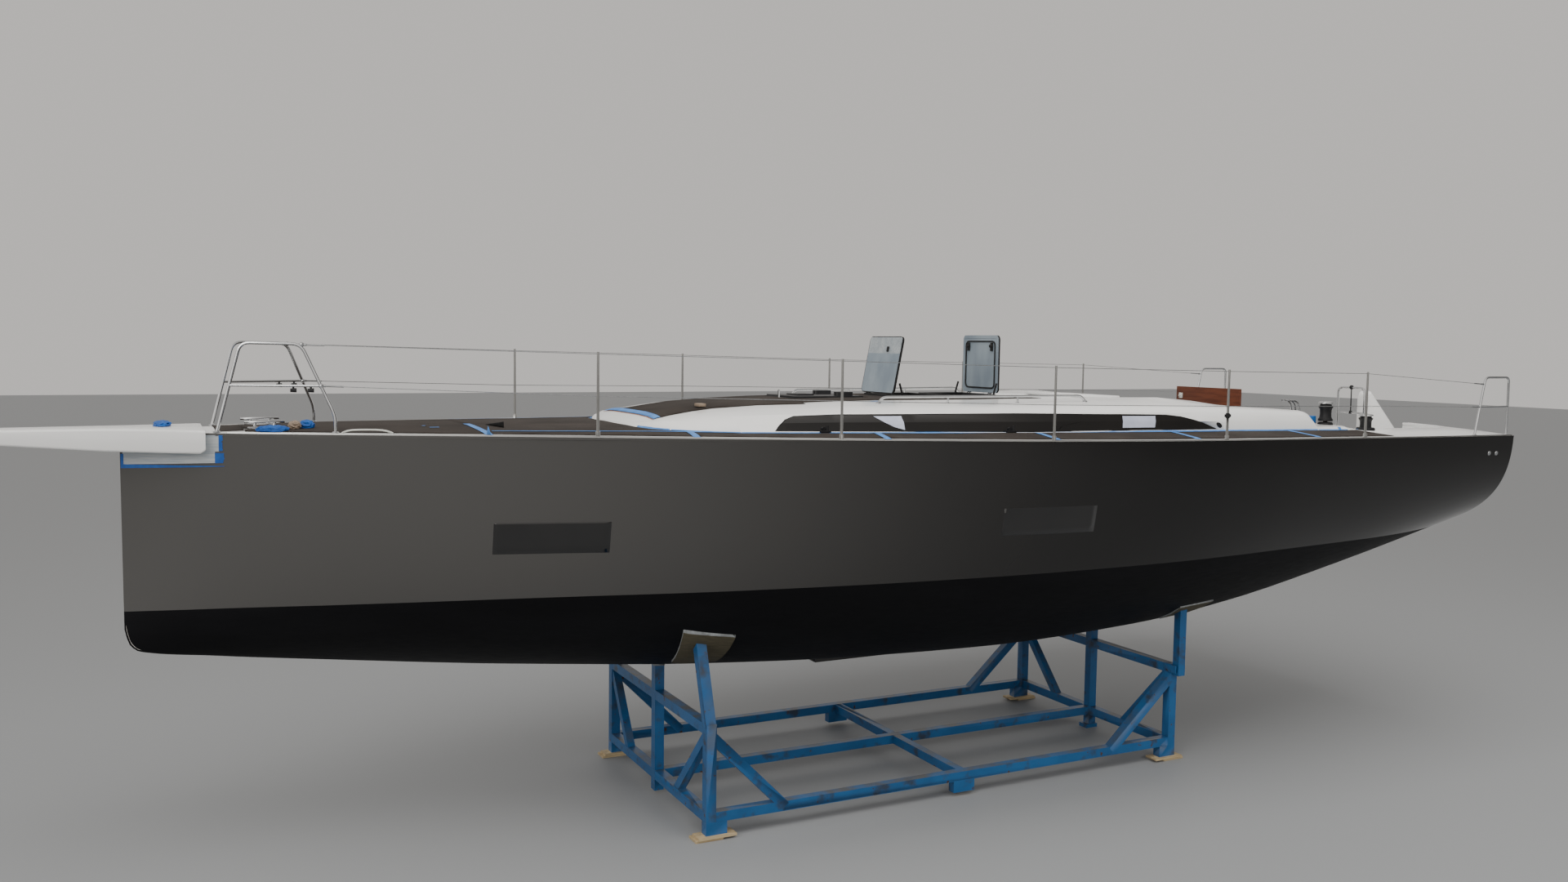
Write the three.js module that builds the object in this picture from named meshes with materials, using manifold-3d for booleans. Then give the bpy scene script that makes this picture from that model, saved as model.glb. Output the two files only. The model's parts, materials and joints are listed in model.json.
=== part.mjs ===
// Sailing yacht ashore on its steel cradle: bare hull and deck, no mast, keel or rudder fitted.
// Millimetres, +X to the bow, +Y to port, +Z up, floor at Z = 0, origin under the middle of the length.
import * as THREE from "three";
import { mergeVertices } from "three/addons/utils/BufferGeometryUtils.js";
import Module from "manifold-3d";

const wasm = await Module();
wasm.setup();

// Driving dimensions. "aft" is always the distance aft of the stem; heights are above the cradle's
// steel feet.
const STEM_X = 6134; // the stem's place along the whole object
const BLOCK = 40; // wood blocks under the cradle's feet
const GAP = 0.3; // between pieces that rest on each other
const SHELL = 40; // hull laminate
const RAKE = 20; // how much further aft the transom's top is than its foot
const TRANSOM = 13345;
const CAMBER = 0.035; // deck crown as a part of the half-beam
const DECK_EDGE = 20; // deck moulding's thickness on the hull's rim
const TUBE = 12.5; // radius of the stainless tubes
const WIRE_POST = 650; // stanchion height
const RAIL = 10; // height of the toe rail
const STATIONS = [
  0, 30, 100, 220, 400, 650, 1000, 1500, 2100, 2800, 3500, 4200, 4900, 5600, 6300, 7000, 7700,
  8400, 9100, 9800, 10500, 11200, 11900, 12600, 13000, TRANSOM,
];

// Hull lines: half-beam and height at the sheer, height of the keel line, rise of the bottom in degrees,
// length of the section's first handle as a part of the half-beam and of its second as a part of the
// depth, flare in degrees.
const HULL = [
  { aft: 0, half: 25, sheer: 3400, keel: 1880, rise: 30, pull: 0.5, drop: 0.5, flare: 0 },
  { aft: 30, half: 50, sheer: 3400, keel: 1765, rise: 30, pull: 0.5, drop: 0.5, flare: 1 },
  { aft: 100, half: 96, sheer: 3400, keel: 1702, rise: 30, pull: 0.5, drop: 0.5, flare: 2 },
  { aft: 600, half: 400, sheer: 3399, keel: 1622, rise: 32, pull: 0.5, drop: 0.5, flare: 6 },
  { aft: 1500, half: 780, sheer: 3394, keel: 1500, rise: 26, pull: 0.63, drop: 0.55, flare: 7 },
  { aft: 3000, half: 1185, sheer: 3375, keel: 1312, rise: 15, pull: 0.76, drop: 0.6, flare: 7 },
  { aft: 4500, half: 1590, sheer: 3354, keel: 1167, rise: 9.5, pull: 0.83, drop: 0.62, flare: 6 },
  { aft: 6000, half: 1895, sheer: 3330, keel: 1091, rise: 7.5, pull: 0.84, drop: 0.62, flare: 5 },
  { aft: 7500, half: 2090, sheer: 3305, keel: 1066, rise: 6.5, pull: 0.83, drop: 0.6, flare: 4 },
  { aft: 9000, half: 2170, sheer: 3285, keel: 1124, rise: 5.5, pull: 0.8, drop: 0.58, flare: 3 },
  { aft: 10500, half: 2170, sheer: 3270, keel: 1275, rise: 4, pull: 0.68, drop: 0.56, flare: 2.5 },
  { aft: 12000, half: 2135, sheer: 3252, keel: 1612, rise: 5.2, pull: 0.6, drop: 0.7, flare: 2 },
  { aft: 13345, half: 2077, sheer: 3239, keel: 1915, rise: 8.5, pull: 0.78, drop: 0.58, flare: 1.4 },
];

// Coachroof and coamings: half-width at the deck, half-width and height of the edge where the top
// begins, height on the line above the coamings' inner faces, height on the centreline.
const COACH = [
  { aft: 3862, base: 300, edge: 200, height: 3419, inner: 3419, crown: 3420 },
  { aft: 3900, base: 620, edge: 420, height: 3428, inner: 3432, crown: 3435 },
  { aft: 3965, base: 800, edge: 560, height: 3447, inner: 3456, crown: 3461 },
  { aft: 4010, base: 870, edge: 620, height: 3459, inner: 3472, crown: 3478 },
  { aft: 4070, base: 940, edge: 655, height: 3476, inner: 3490, crown: 3500 },
  { aft: 4200, base: 1030, edge: 600, height: 3493, inner: 3505, crown: 3519 },
  { aft: 4400, base: 1136, edge: 585, height: 3523, inner: 3536, crown: 3550 },
  { aft: 4600, base: 1215, edge: 600, height: 3549, inner: 3561, crown: 3574 },
  { aft: 5000, base: 1285, edge: 668, height: 3576, inner: 3588, crown: 3599 },
  { aft: 5450, base: 1330, edge: 735, height: 3586, inner: 3600, crown: 3613 },
  { aft: 6200, base: 1410, edge: 925, height: 3591, inner: 3607, crown: 3620 },
  { aft: 7300, base: 1470, edge: 1050, height: 3587, inner: 3606, crown: 3622 },
  { aft: 8400, base: 1500, edge: 1245, height: 3583, inner: 3614, crown: 3612 },
  { aft: 9000, base: 1508, edge: 1300, height: 3573, inner: 3632, crown: 3592 },
  { aft: 9340, base: 1510, edge: 1330, height: 3563, inner: 3629, crown: 3580 },
  { aft: 9760, base: 1516, edge: 1345, height: 3547, inner: 3596, crown: 3560 },
  { aft: 10000, base: 1520, edge: 1355, height: 3538, inner: 3560, crown: 3545 },
  { aft: 10260, base: 1522, edge: 1360, height: 3529, inner: 3532, crown: 3530 },
  { aft: 10870, base: 1530, edge: 1385, height: 3502, inner: 3504, crown: 3500 },
  { aft: 10925, base: 1531, edge: 1390, height: 3490, inner: 3492, crown: 3486 },
  { aft: 10990, base: 1534, edge: 1405, height: 3412, inner: 3414, crown: 3412 },
  { aft: 11020, base: 1535, edge: 1410, height: 3358, inner: 3360, crown: 3358 },
  { aft: 11440, base: 1540, edge: 1430, height: 3338, inner: 3340, crown: 3338 },
  { aft: 11540, base: 1540, edge: 1450, height: 3266, inner: 3268, crown: 3266 },
];
// Curve of the coachroof's side: way in from the base to the edge against the share of its height.
const TUMBLE = [[0, 0], [0.12, 0.4], [0.3, 0.72], [0.5, 0.88], [0.75, 0.965], [1, 1]];
const INNER = 970; // half-width of the inner line where the top is wide enough
const MIDDLE = 430; // half-width of the flat on the centreline
const COACH_FROM = COACH[0].aft;
const COACH_TO = COACH[COACH.length - 1].aft;
const CABIN_END = 9310; // inside face of the bulkhead behind the companionway
const ROOF = 28; // thickness of the coachroof

// Cockpit: narrow part with seats, wide part for the helm, passage through the transom.
const WELL = { from: 9340, to: 11720, half: 980, seat: 3050, foot: 440, sole: 2750 };
const HELM = { from: 11720, to: 13250, half: 1380, sole: 2800 };
const PASSAGE = { half: 800, sill: 2300 };
const TUB = 25; // wall of the cockpit moulding

// Openings in the hull sides, and in the coachroof sides.
const HULL_WINDOWS = [
  { name: "fwd", from: 2590, to: 3470, low: 2440, high: 2695 },
  { name: "aft", from: 6757, to: 7687, low: 2493, high: 2735 },
];

// Long coachroof window in the side view: its outline from the forward tip over the top and back.
const BAND = [
  { aft: 4890, z: 3388 }, { aft: 4950, z: 3440 }, { aft: 5020, z: 3480 }, { aft: 5120, z: 3508 },
  { aft: 5525, z: 3519 }, { aft: 6300, z: 3519 }, { aft: 7300, z: 3516 }, { aft: 8250, z: 3501 },
  { aft: 8650, z: 3494 }, { aft: 9000, z: 3487 }, { aft: 9180, z: 3468 }, { aft: 9310, z: 3442 },
  { aft: 9470, z: 3400 }, { aft: 9640, z: 3336 }, { aft: 7400, z: 3346 }, { aft: 6000, z: 3372 },
];

// Roof hatches: edges of the opening, place of the hinge, opening angle as found.
const HATCHES = [
  { name: "fore", from: 6645, to: 7170, hinge: 6632, side: 1, angle: 79 },
  { name: "aft", from: 7290, to: 7835, hinge: 7848, side: -1, angle: 90 },
];
const HATCH_HALF = 290;
const HATCH_RIM = 3641;
const HATCH_AXIS = 3651;
const PIN = 4; // radius of the hinge pins

// Sliding companionway hatch: middle of its plate as found closed, and its slope.
const SLIDE = { aft: 9040, z: 3617, slope: Math.atan2(32, 940) };

// Flat where the keel bolts on, and the stanchions' places.
const KEEL = { from: 5900, to: 7100, half: 140, face: 1058 };
const STANCHIONS = [
  { aft: 3345, more: 15 }, { aft: 5262, more: 8 }, { aft: 7196, more: 0 }, { aft: 9108, more: 0 },
  { aft: 10965, more: 0 },
];
const RAIL_START = 720;

// Cradle: two frames of three posts, joined along the floor.
const CRADLE = { front: 4340, mid: 6900, rear: 9420, half: 1207, tube: 90, low: 105, cross: 900 };

// Materials
const paint = (color, roughness, metalness = 0) =>
  new THREE.MeshStandardMaterial({ color, roughness, metalness });
const GREY = paint(0x4b4a4b, 0.18);
const WHITE = paint(0xdfe1df, 0.35);
const COVER = paint(0x3d3733, 0.85);
const GLASS = paint(0x15110f, 0.1);
const STEEL = paint(0xb9bcbf, 0.22, 1);
const BLACK = paint(0x18181a, 0.5);
const ACRYLIC = paint(0x8f9aa4, 0.35);
const WOOD = paint(0x5b3424, 0.6);
const PLY = paint(0xb79a6b, 0.75);
const RAILING = paint(0xa9adb0, 0.4, 1);
const BLUE = paint(0x1c5f9e, 0.5, 0.2);
const CARPET = paint(0x6e675e, 0.9);
const IRON = paint(0x5a6065, 0.6, 0.4);

const boat = new THREE.Group();
boat.position.set(STEM_X, 0, BLOCK);
const stand = new THREE.Group();
stand.position.set(STEM_X, 0, BLOCK);

// Smooth reading of a column between a table's rows.
function read(table, column, aft) {
  const n = table.length;
  const x = (i) => table[i].aft;
  const y = (i) => table[i][column];
  if (aft <= x(0)) return y(0);
  if (aft >= x(n - 1)) return y(n - 1);
  const i = table.findIndex((row) => row.aft > aft) - 1;
  const rate = (k) => (y(k + 1) - y(k)) / (x(k + 1) - x(k));
  const slope = (k) => {
    if (k === 0) return rate(0);
    if (k === n - 1) return rate(n - 2);
    const before = rate(k - 1);
    const after = rate(k);
    return before * after <= 0 ? 0 : (2 * before * after) / (before + after);
  };
  const h = x(i + 1) - x(i);
  const t = (aft - x(i)) / h;
  return (
    (2 * t ** 3 - 3 * t ** 2 + 1) * y(i) +
    (t ** 3 - 2 * t ** 2 + t) * h * slope(i) +
    (3 * t ** 2 - 2 * t ** 3) * y(i + 1) +
    (t ** 3 - t ** 2) * h * slope(i + 1)
  );
}

// Forward coordinate of a point at this distance aft, with the transom's rake near the stern.
function forward(aft, z) {
  const share = Math.min(1, Math.max(0, (aft - 12600) / (TRANSOM - 12600)));
  return -(aft + (share * RAKE * (z - 2000)) / 1235);
}

// Half of a hull section from the sheer down to the keel line, moved inward by "inset".
function halfSection(aft, inset = 0, top = DECK_EDGE + GAP, count = 12) {
  const half = read(HULL, "half", aft);
  const sheer = read(HULL, "sheer", aft);
  const keel = read(HULL, "keel", aft);
  const depth = sheer - keel;
  const handle = read(HULL, "pull", aft) * half;
  const rise = Math.tan(THREE.MathUtils.degToRad(read(HULL, "rise", aft)));
  const flare = Math.tan(THREE.MathUtils.degToRad(read(HULL, "flare", aft)));
  const drop = read(HULL, "drop", aft) * depth;
  const curve = new THREE.CubicBezierCurve(
    new THREE.Vector2(half - inset, sheer),
    new THREE.Vector2(half - drop * flare - inset, sheer - drop + inset * 0.3),
    new THREE.Vector2(Math.max(1, handle - inset * 0.4), keel + handle * rise + inset),
    new THREE.Vector2(0, keel + inset),
  );
  const points = curve.getPoints(count);
  const [a, b] = points;
  points[0] = new THREE.Vector2(a.x + ((b.x - a.x) * top) / (a.y - b.y), a.y - top);
  return points;
}

// Closed skin through rings with the same number of points; each ring lies across the boat.
function loft(rings) {
  const count = rings[0].length;
  const position = rings.flat().flatMap((p) => [p.x, p.y, p.z]);
  const index = [];
  for (let r = 0; r + 1 < rings.length; r++)
    for (let k = 0; k < count; k++) {
      const a = r * count + k;
      const b = r * count + ((k + 1) % count);
      index.push(a, b, a + count, b, b + count, a + count);
    }
  for (const [ring, first, turn] of [
    [rings[0], 0, true],
    [rings[rings.length - 1], (rings.length - 1) * count, false],
  ]) {
    const flat = ring.map((p) => new THREE.Vector2(p.y, p.z));
    const clockwise = THREE.ShapeUtils.isClockWise(flat);
    for (const [a, b, c] of THREE.ShapeUtils.triangulateShape(flat, []))
      if (turn === clockwise) index.push(first + a, first + b, first + c);
      else index.push(first + a, first + c, first + b);
  }
  const geometry = new THREE.BufferGeometry();
  geometry.setAttribute("position", new THREE.Float32BufferAttribute(position, 3));
  geometry.setIndex(index);
  return geometry;
}

// Closed geometry to a solid that can be joined and cut.
function solid(geometry) {
  const bare = geometry.clone();
  bare.deleteAttribute("normal");
  bare.deleteAttribute("uv");
  const merged = mergeVertices(bare, 1e-3);
  const p = merged.attributes.position;
  const at = (i) => new THREE.Vector3().fromBufferAttribute(p, i);
  const tris = [];
  let volume = 0;
  for (let i = 0; i < merged.index.count; i += 3) {
    const [a, b, c] = [0, 1, 2].map((k) => merged.index.getX(i + k));
    if (a === b || b === c || a === c) continue;
    tris.push(a, b, c);
    volume += at(a).dot(at(b).cross(at(c)));
  }
  if (volume < 0) for (let i = 0; i < tris.length; i += 3) [tris[i], tris[i + 1]] = [tris[i + 1], tris[i]];
  return new wasm.Manifold(
    new wasm.Mesh({
      numProp: 3,
      vertProperties: new Float32Array(p.array),
      triVerts: new Uint32Array(tris),
    }),
  );
}

// Solid back to a geometry.
function skin(shape) {
  const mesh = shape.getMesh();
  const geometry = new THREE.BufferGeometry();
  geometry.setAttribute("position", new THREE.BufferAttribute(mesh.vertProperties, 3));
  geometry.setIndex(new THREE.BufferAttribute(mesh.triVerts, 1));
  geometry.computeVertexNormals();
  return geometry;
}

function add(group, name, shape, material, place, turn) {
  const mesh = new THREE.Mesh(shape.isBufferGeometry ? shape : skin(shape), material);
  mesh.name = name;
  if (place) mesh.position.set(...place);
  if (turn) mesh.rotation.set(...turn);
  group.add(mesh);
  return mesh;
}

const union = (list) => list.reduce((sum, next) => sum.add(next));

// Box between two corners, given as distances aft, across and up.
function box(aft0, aft1, y0, y1, z0, z1) {
  const g = new THREE.BoxGeometry(aft1 - aft0, y1 - y0, z1 - z0);
  g.translate(-(aft0 + aft1) / 2, (y0 + y1) / 2, (z0 + z1) / 2);
  return solid(g);
}

// Beam of square section between two points.
function beam(a, b, width, height = width) {
  const from = new THREE.Vector3(...a);
  const to = new THREE.Vector3(...b);
  const g = new THREE.BoxGeometry(from.distanceTo(to), width, height);
  const turn = new THREE.Matrix4();
  const x = to.clone().sub(from).normalize();
  const up = Math.abs(x.z) > 0.95 ? new THREE.Vector3(1, 0, 0) : new THREE.Vector3(0, 0, 1);
  const y = up.clone().cross(x).normalize();
  const z = x.clone().cross(y);
  turn.makeBasis(x, y, z).setPosition(from.add(to).multiplyScalar(0.5));
  return solid(g.applyMatrix4(turn));
}

// Path with a straight run between its points; the bends are rounded first.
class Bend extends THREE.Curve {
  constructor(points) {
    super();
    this.points = points;
  }
  getPoint(t, target = new THREE.Vector3()) {
    const last = this.points.length - 1;
    const u = Math.min(1, Math.max(0, t)) * last;
    const i = Math.min(last - 1, Math.floor(u));
    return target.lerpVectors(this.points[i], this.points[i + 1], u - i);
  }
  getUtoTmapping(u) {
    return u;
  }
}

function rounded(points, radius) {
  const v = points.map((p) => new THREE.Vector3(...p));
  const out = [v[0]];
  for (let i = 1; i + 1 < v.length; i++) {
    const back = Math.min(radius, v[i].distanceTo(v[i - 1]) * 0.45);
    const ahead = Math.min(radius, v[i].distanceTo(v[i + 1]) * 0.45);
    const curve = new THREE.QuadraticBezierCurve3(
      v[i].clone().add(v[i - 1].clone().sub(v[i]).setLength(back)),
      v[i],
      v[i].clone().add(v[i + 1].clone().sub(v[i]).setLength(ahead)),
    );
    out.push(...curve.getPoints(4));
  }
  out.push(v[v.length - 1]);
  return out;
}

// Round bar along a path.
function tube(points, radius = TUBE, bend = 70, sides = 8) {
  const path = rounded(points, bend);
  const disc = new THREE.Shape();
  for (let k = 0; k < sides; k++) {
    const a = ((k + 0.5) * 2 * Math.PI) / sides;
    if (k === 0) disc.moveTo(radius * Math.cos(a), radius * Math.sin(a));
    else disc.lineTo(radius * Math.cos(a), radius * Math.sin(a));
  }
  const g = new THREE.ExtrudeGeometry(disc, {
    extrudePath: new Bend(path),
    steps: path.length - 1,
    bevelEnabled: false,
  });
  return solid(g);
}

// Round bar across the boat, at a distance aft and a height.
function rod(radius, y0, y1, aft, z, sides = 16) {
  const g = new THREE.CylinderGeometry(radius, radius, y1 - y0, sides);
  g.translate(-aft, (y0 + y1) / 2, z);
  return solid(g);
}

function cylinder(radius, height, x, y, z, sides = 20, top = radius) {
  const g = new THREE.CylinderGeometry(top, radius, height, sides);
  g.rotateX(Math.PI / 2);
  g.translate(x, y, z + height / 2);
  return solid(g);
}

// Outline in the side view (distance aft, height), pushed across from y0 to y1.
function sideways(outline, y0, y1) {
  const shape = new THREE.Shape(outline.map(([aft, z]) => new THREE.Vector2(-aft, z)));
  const g = new THREE.ExtrudeGeometry(shape, { depth: y1 - y0, bevelEnabled: false });
  g.rotateX(Math.PI / 2);
  g.translate(0, y1, 0);
  return solid(g);
}

// Outline in plan (distance aft, across), pushed up from z0 to z1.
function upward(outline, z0, z1) {
  const shape = new THREE.Shape(outline.map(([aft, y]) => new THREE.Vector2(-aft, y)));
  const g = new THREE.ExtrudeGeometry(shape, { depth: z1 - z0, bevelEnabled: false });
  g.translate(0, 0, z0);
  return solid(g);
}

// Hull volume, moved inward by "inset"; "over" raises its top above the rim.
function hullVolume(inset, from, to, over = 0) {
  const stations = [from, ...STATIONS.filter((s) => s > from + 25 && s < to - 25), to];
  return solid(
    loft(
      stations.map((aft) => {
        const port = halfSection(aft, inset, DECK_EDGE + GAP - over);
        const ring = port.map((p) => new THREE.Vector3(forward(aft, p.y), p.x, p.y));
        const starboard = port.slice(0, -1).reverse();
        ring.push(...starboard.map((p) => new THREE.Vector3(forward(aft, p.y), -p.x, p.y)));
        return ring;
      }),
    ),
  );
}

const deckTop = (aft, y) => {
  const half = read(HULL, "half", aft);
  return read(HULL, "sheer", aft) + CAMBER * half * (1 - Math.min(1, (y / half) ** 2));
};

// Sheet that follows the deck between two offsets from its top.
function deckSheet(from, to, low, high, edge) {
  const stations = [from, ...STATIONS.filter((s) => s > from + 25 && s < to - 25), to];
  const across = [1, edge, 0.8, 0.55, 0.28, 0];
  return solid(
    loft(
      stations.map((aft) => {
        const half = read(HULL, "half", aft);
        const parts = across.map((f) => (f === edge ? Math.max(0.85, 1 - 60 / half) : f));
        const top = parts.map((f) => [f * half, deckTop(aft, f * half) + high]);
        const bottom = parts.map((f, i) => [
          f * half,
          low > -10
            ? deckTop(aft, f * half) + low
            : Math.max(deckTop(aft, half) - DECK_EDGE, i < 2 ? 0 : deckTop(aft, f * half) + low),
        ]);
        const ring = [
          ...top,
          ...top.slice(0, -1).reverse().map(([y, z]) => [-y, z]),
          ...bottom.slice(0, -1).map(([y, z]) => [-y, z]),
          ...bottom.slice().reverse(),
        ];
        return ring.map(([y, z]) => new THREE.Vector3(forward(aft, z), y, z));
      }),
    ),
  );
}

// Half section of the coachroof from its base to the centreline, made smaller by "inset".
function coachSide(aft, inset = 0) {
  const i = Math.max(1, COACH.findIndex((r) => r.aft >= aft));
  const [a, b] = [COACH[i - 1], COACH[i]];
  const at = (column) => a[column] + ((b[column] - a[column]) * (aft - a.aft)) / (b.aft - a.aft);
  const base = at("base") - inset;
  const edge = at("edge") - inset;
  const deck = deckTop(aft, base);
  const height = Math.max(at("height") - inset * 0.9, deck + 5);
  const crown = Math.max(at("crown") - inset * 0.9, deck + 8);
  return [
    ...TUMBLE.map(([way, share]) => [base - (base - edge) * way, deck + (height - deck) * share]),
    [Math.min(INNER, edge * 0.8), Math.max(at("inner") - inset * 0.9, deck + 7)],
    [Math.min(MIDDLE, edge * 0.5), crown - 1],
    [0, crown],
  ];
}

// Coachroof and coaming volume, starting "below" the deck.
function coachVolume(inset, from, to, below) {
  const stations = [from, ...COACH.map((r) => r.aft).filter((s) => s > from && s < to), to];
  return solid(
    loft(
      stations.map((aft) => {
        const top = coachSide(aft, inset);
        const side = [[top[0][0], top[0][1] - below], ...top];
        const ring = [...side, ...side.slice(0, -1).reverse().map(([y, z]) => [-y, z])];
        return ring.map(([y, z]) => new THREE.Vector3(-aft, y, z));
      }),
    ),
  );
}

// Hull shell with its window and transom openings
const outer = hullVolume(0, 0, TRANSOM);
const outside = hullVolume(-GAP, 0, TRANSOM + 1, 60);
const inner = hullVolume(SHELL, 430, TRANSOM - SHELL, 80);
const within = hullVolume(SHELL + GAP, 430 + GAP, TRANSOM - SHELL - GAP, 80);
let shell = outer.subtract(inner);
for (const w of HULL_WINDOWS) shell = shell.subtract(box(w.from, w.to, -3000, 3000, w.low, w.high));
const gate = box(TRANSOM - 100, TRANSOM + 200, -PASSAGE.half, PASSAGE.half, PASSAGE.sill, 3600);
shell = shell.subtract(gate);
const landing = box(KEEL.from, KEEL.to, -KEEL.half, KEEL.half, KEEL.face, 1250).subtract(inner);
shell = shell.add(landing.intersect(box(KEEL.from, KEEL.to, -400, 400, KEEL.face, 1104)));
const HINGE = { aft: TRANSOM + 16, z: PASSAGE.sill + 3, pin: 5 };
for (const y of [-600, 600]) {
  for (const ear of [y - 24, y + 14])
    shell = union([
      shell,
      rod(7, ear, ear + 10, HINGE.aft, HINGE.z),
      box(HINGE.aft - 24, HINGE.aft, ear, ear + 10, HINGE.z - 40, HINGE.z - 7),
      box(HINGE.aft, HINGE.aft + 7, ear, ear + 10, HINGE.z - 40, HINGE.z),
      box(HINGE.aft - 7, HINGE.aft + 1, ear, ear + 10, HINGE.z - 10, HINGE.z),
    ]);
  shell = shell.add(rod(HINGE.pin, y - 20, y + 20, HINGE.aft, HINGE.z));
}
add(boat, "hull", shell, GREY);

for (const w of HULL_WINDOWS) {
  const pane = hullVolume(3, 0, TRANSOM).subtract(hullVolume(15, 300, TRANSOM - 60, 50));
  for (const [side, y0, y1] of [["port", 200, 3000], ["stbd", -3000, -200]])
    add(
      boat,
      `hull_window_${side}_${w.name}`,
      pane.intersect(box(w.from + GAP, w.to - GAP, y0, y1, w.low + GAP, w.high - GAP)),
      GLASS,
    );
}

// Fold-down bathing platform in the transom, hinged along its lower outer edge
let panel = outer
  .subtract(outer.translate([38, 0, 0]))
  .intersect(
    box(TRANSOM - 300, TRANSOM + 200, 6 - PASSAGE.half, PASSAGE.half - 6, PASSAGE.sill + 6, 3188),
  );
for (const y of [-600, 600])
  panel = union([
    panel,
    rod(7.5, y - 12, y + 12, HINGE.aft, HINGE.z),
    box(HINGE.aft - 6, HINGE.aft + 7.5, y - 12, y + 12, HINGE.z, HINGE.z + 40),
    box(HINGE.aft - 16, HINGE.aft + 7.5, y - 12, y + 12, HINGE.z + 14, HINGE.z + 40),
  ]).subtract(rod(HINGE.pin + 0.6, y - 13, y + 13, HINGE.aft, HINGE.z));
add(boat, "transom_platform", panel, GREY);

// Deck moulding: deck, coachroof, coamings and cockpit in one
const coach = coachVolume(0, COACH_FROM, COACH_TO, 12);
const cabin = coachVolume(ROOF, 4090, CABIN_END, 160);
const tub = union([
  box(WELL.from - TUB, WELL.to + TUB, -WELL.half - TUB, WELL.half + TUB, WELL.sole - TUB, 3270),
  box(HELM.from - TUB, TRANSOM - 32, -HELM.half - TUB, HELM.half + TUB, HELM.sole - TUB, 3270),
]);
const cockpit = union([
  box(WELL.from, WELL.to + 50, -WELL.half, WELL.half, WELL.seat, 3700),
  box(WELL.from, WELL.to + 50, -WELL.foot, WELL.foot, WELL.sole, 3700),
  box(HELM.from, HELM.to, -HELM.half, HELM.half, HELM.sole, 3700),
  box(HELM.to - 20, TRANSOM + 200, -PASSAGE.half, PASSAGE.half, HELM.sole, 3700),
]);
const companionway = union([
  box(CABIN_END - 20, WELL.from + 20, -330, 330, 3080, 3700),
  box(8780, WELL.from + 20, -330, 330, 3300, 3700),
]);
const plate = deckSheet(0, TRANSOM, -24, 0, 0.96);
const band = sideways(BAND.map((p) => [p.aft, p.z]), -3000, 3000);
const inside = (aft0, aft1, y) => box(aft0, aft1, -y, y, 3200, 3700);
const runner = (y) => {
  const fall = (aft) => (aft - SLIDE.aft) * Math.tan(SLIDE.slope);
  const under = (aft) => SLIDE.z - 16 / Math.cos(SLIDE.slope) - fall(aft) - 10;
  return beam([-8150, y, under(8150)], [-9355, y, under(9355)], 26, 20);
};
let moulding = union([plate, coach, tub]).subtract(cabin).subtract(cockpit).subtract(companionway);
moulding = union([moulding, runner(-365), runner(365)]);
for (const h of HATCHES)
  moulding = moulding.subtract(box(h.from, h.to, -HATCH_HALF, HATCH_HALF, 3480, 3800));
moulding = moulding.subtract(band.subtract(inside(4700, 9800, 1040)));
add(boat, "deck_moulding", moulding, WHITE);

// Long side windows of the coachroof
const inset = { end: 7, tip: 22, top: 1.8, foot: 5 }; // clearance of the glass in its opening
const [NOSE, TAIL] = [4, 12]; // points of the outline before and behind the long top edge
const endward = (i) => (i < NOSE - 1 ? inset.end : i === TAIL ? -inset.end : i === TAIL + 1 ? -inset.tip : 0);
const glassLine = BAND.map(({ aft, z }, i) => [
  aft + endward(i),
  i === 0 || i > TAIL ? z + inset.foot : z - inset.top,
]);
const glazing = coachVolume(2, COACH_FROM, COACH_TO, 12)
  .subtract(coachVolume(14, COACH_FROM, COACH_TO, 300))
  .intersect(sideways(glassLine, -3000, 3000));
add(boat, "roof_window_port", glazing.intersect(box(4000, 10000, 1000, 3000, 3000, 4000)), GLASS);
add(boat, "roof_window_stbd", glazing.intersect(box(4000, 10000, -3000, -1000, 3000, 4000)), GLASS);

const deckSkin = deckSheet(0, TRANSOM, -40, GAP, 0.96);

// Dark protective covers on the deck and on the coachroof
const margin = (inset, from, to) => {
  const port = [from, ...STATIONS.filter((s) => s > from && s < to), to].map((aft) => [
    aft,
    Math.max(40, read(HULL, "half", aft) - inset),
  ]);
  return [...port, ...port.slice().reverse().map(([aft, y]) => [aft, -y])];
};
const COVER_END = 11530;
const clearOfCoach = upward(
  [
    ...COACH.map((r) => [r.aft - (r.aft < 4000 ? 30 : 0), r.base + 30]),
    ...COACH.slice().reverse().map((r) => [r.aft - (r.aft < 4000 ? 30 : 0), -r.base - 30]),
  ],
  3000,
  3800,
);
const deckCover = deckSheet(850, COVER_END, GAP, GAP + 4, 0.96)
  .intersect(upward(margin(125, 850, COVER_END), 3000, 3800))
  .subtract(clearOfCoach)
  .subtract(box(840, 1160, 190, 280, 3300, 3600))
  .subtract(box(840, 1160, -280, -190, 3300, 3600));
add(boat, "deck_cover", deckCover, COVER);

const ROOF_COVER = [
  [4066, 664], [4200, 598], [4400, 583], [4600, 598], [5000, 664], [5450, 728], [5455, 640],
  [8100, 690],
];
const roofSheet = coachVolume(-5, COACH_FROM, COACH_TO, 12)
  .subtract(coachVolume(-GAP * 1.4, COACH_FROM, COACH_TO, 300))
  .intersect(
    upward([...ROOF_COVER, ...ROOF_COVER.slice().reverse().map(([aft, y]) => [aft, -y])], 3400, 3800),
  );
let roofCover = roofSheet.subtract(box(5530, 6330, -330, 330, 3400, 3800));
for (const h of HATCHES) {
  const across = HATCH_HALF + 40;
  roofCover = roofCover.subtract(box(h.from - 40, h.to + 40, -across, across, 3400, 3800));
}
add(boat, "roof_cover", roofCover, COVER);

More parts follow.
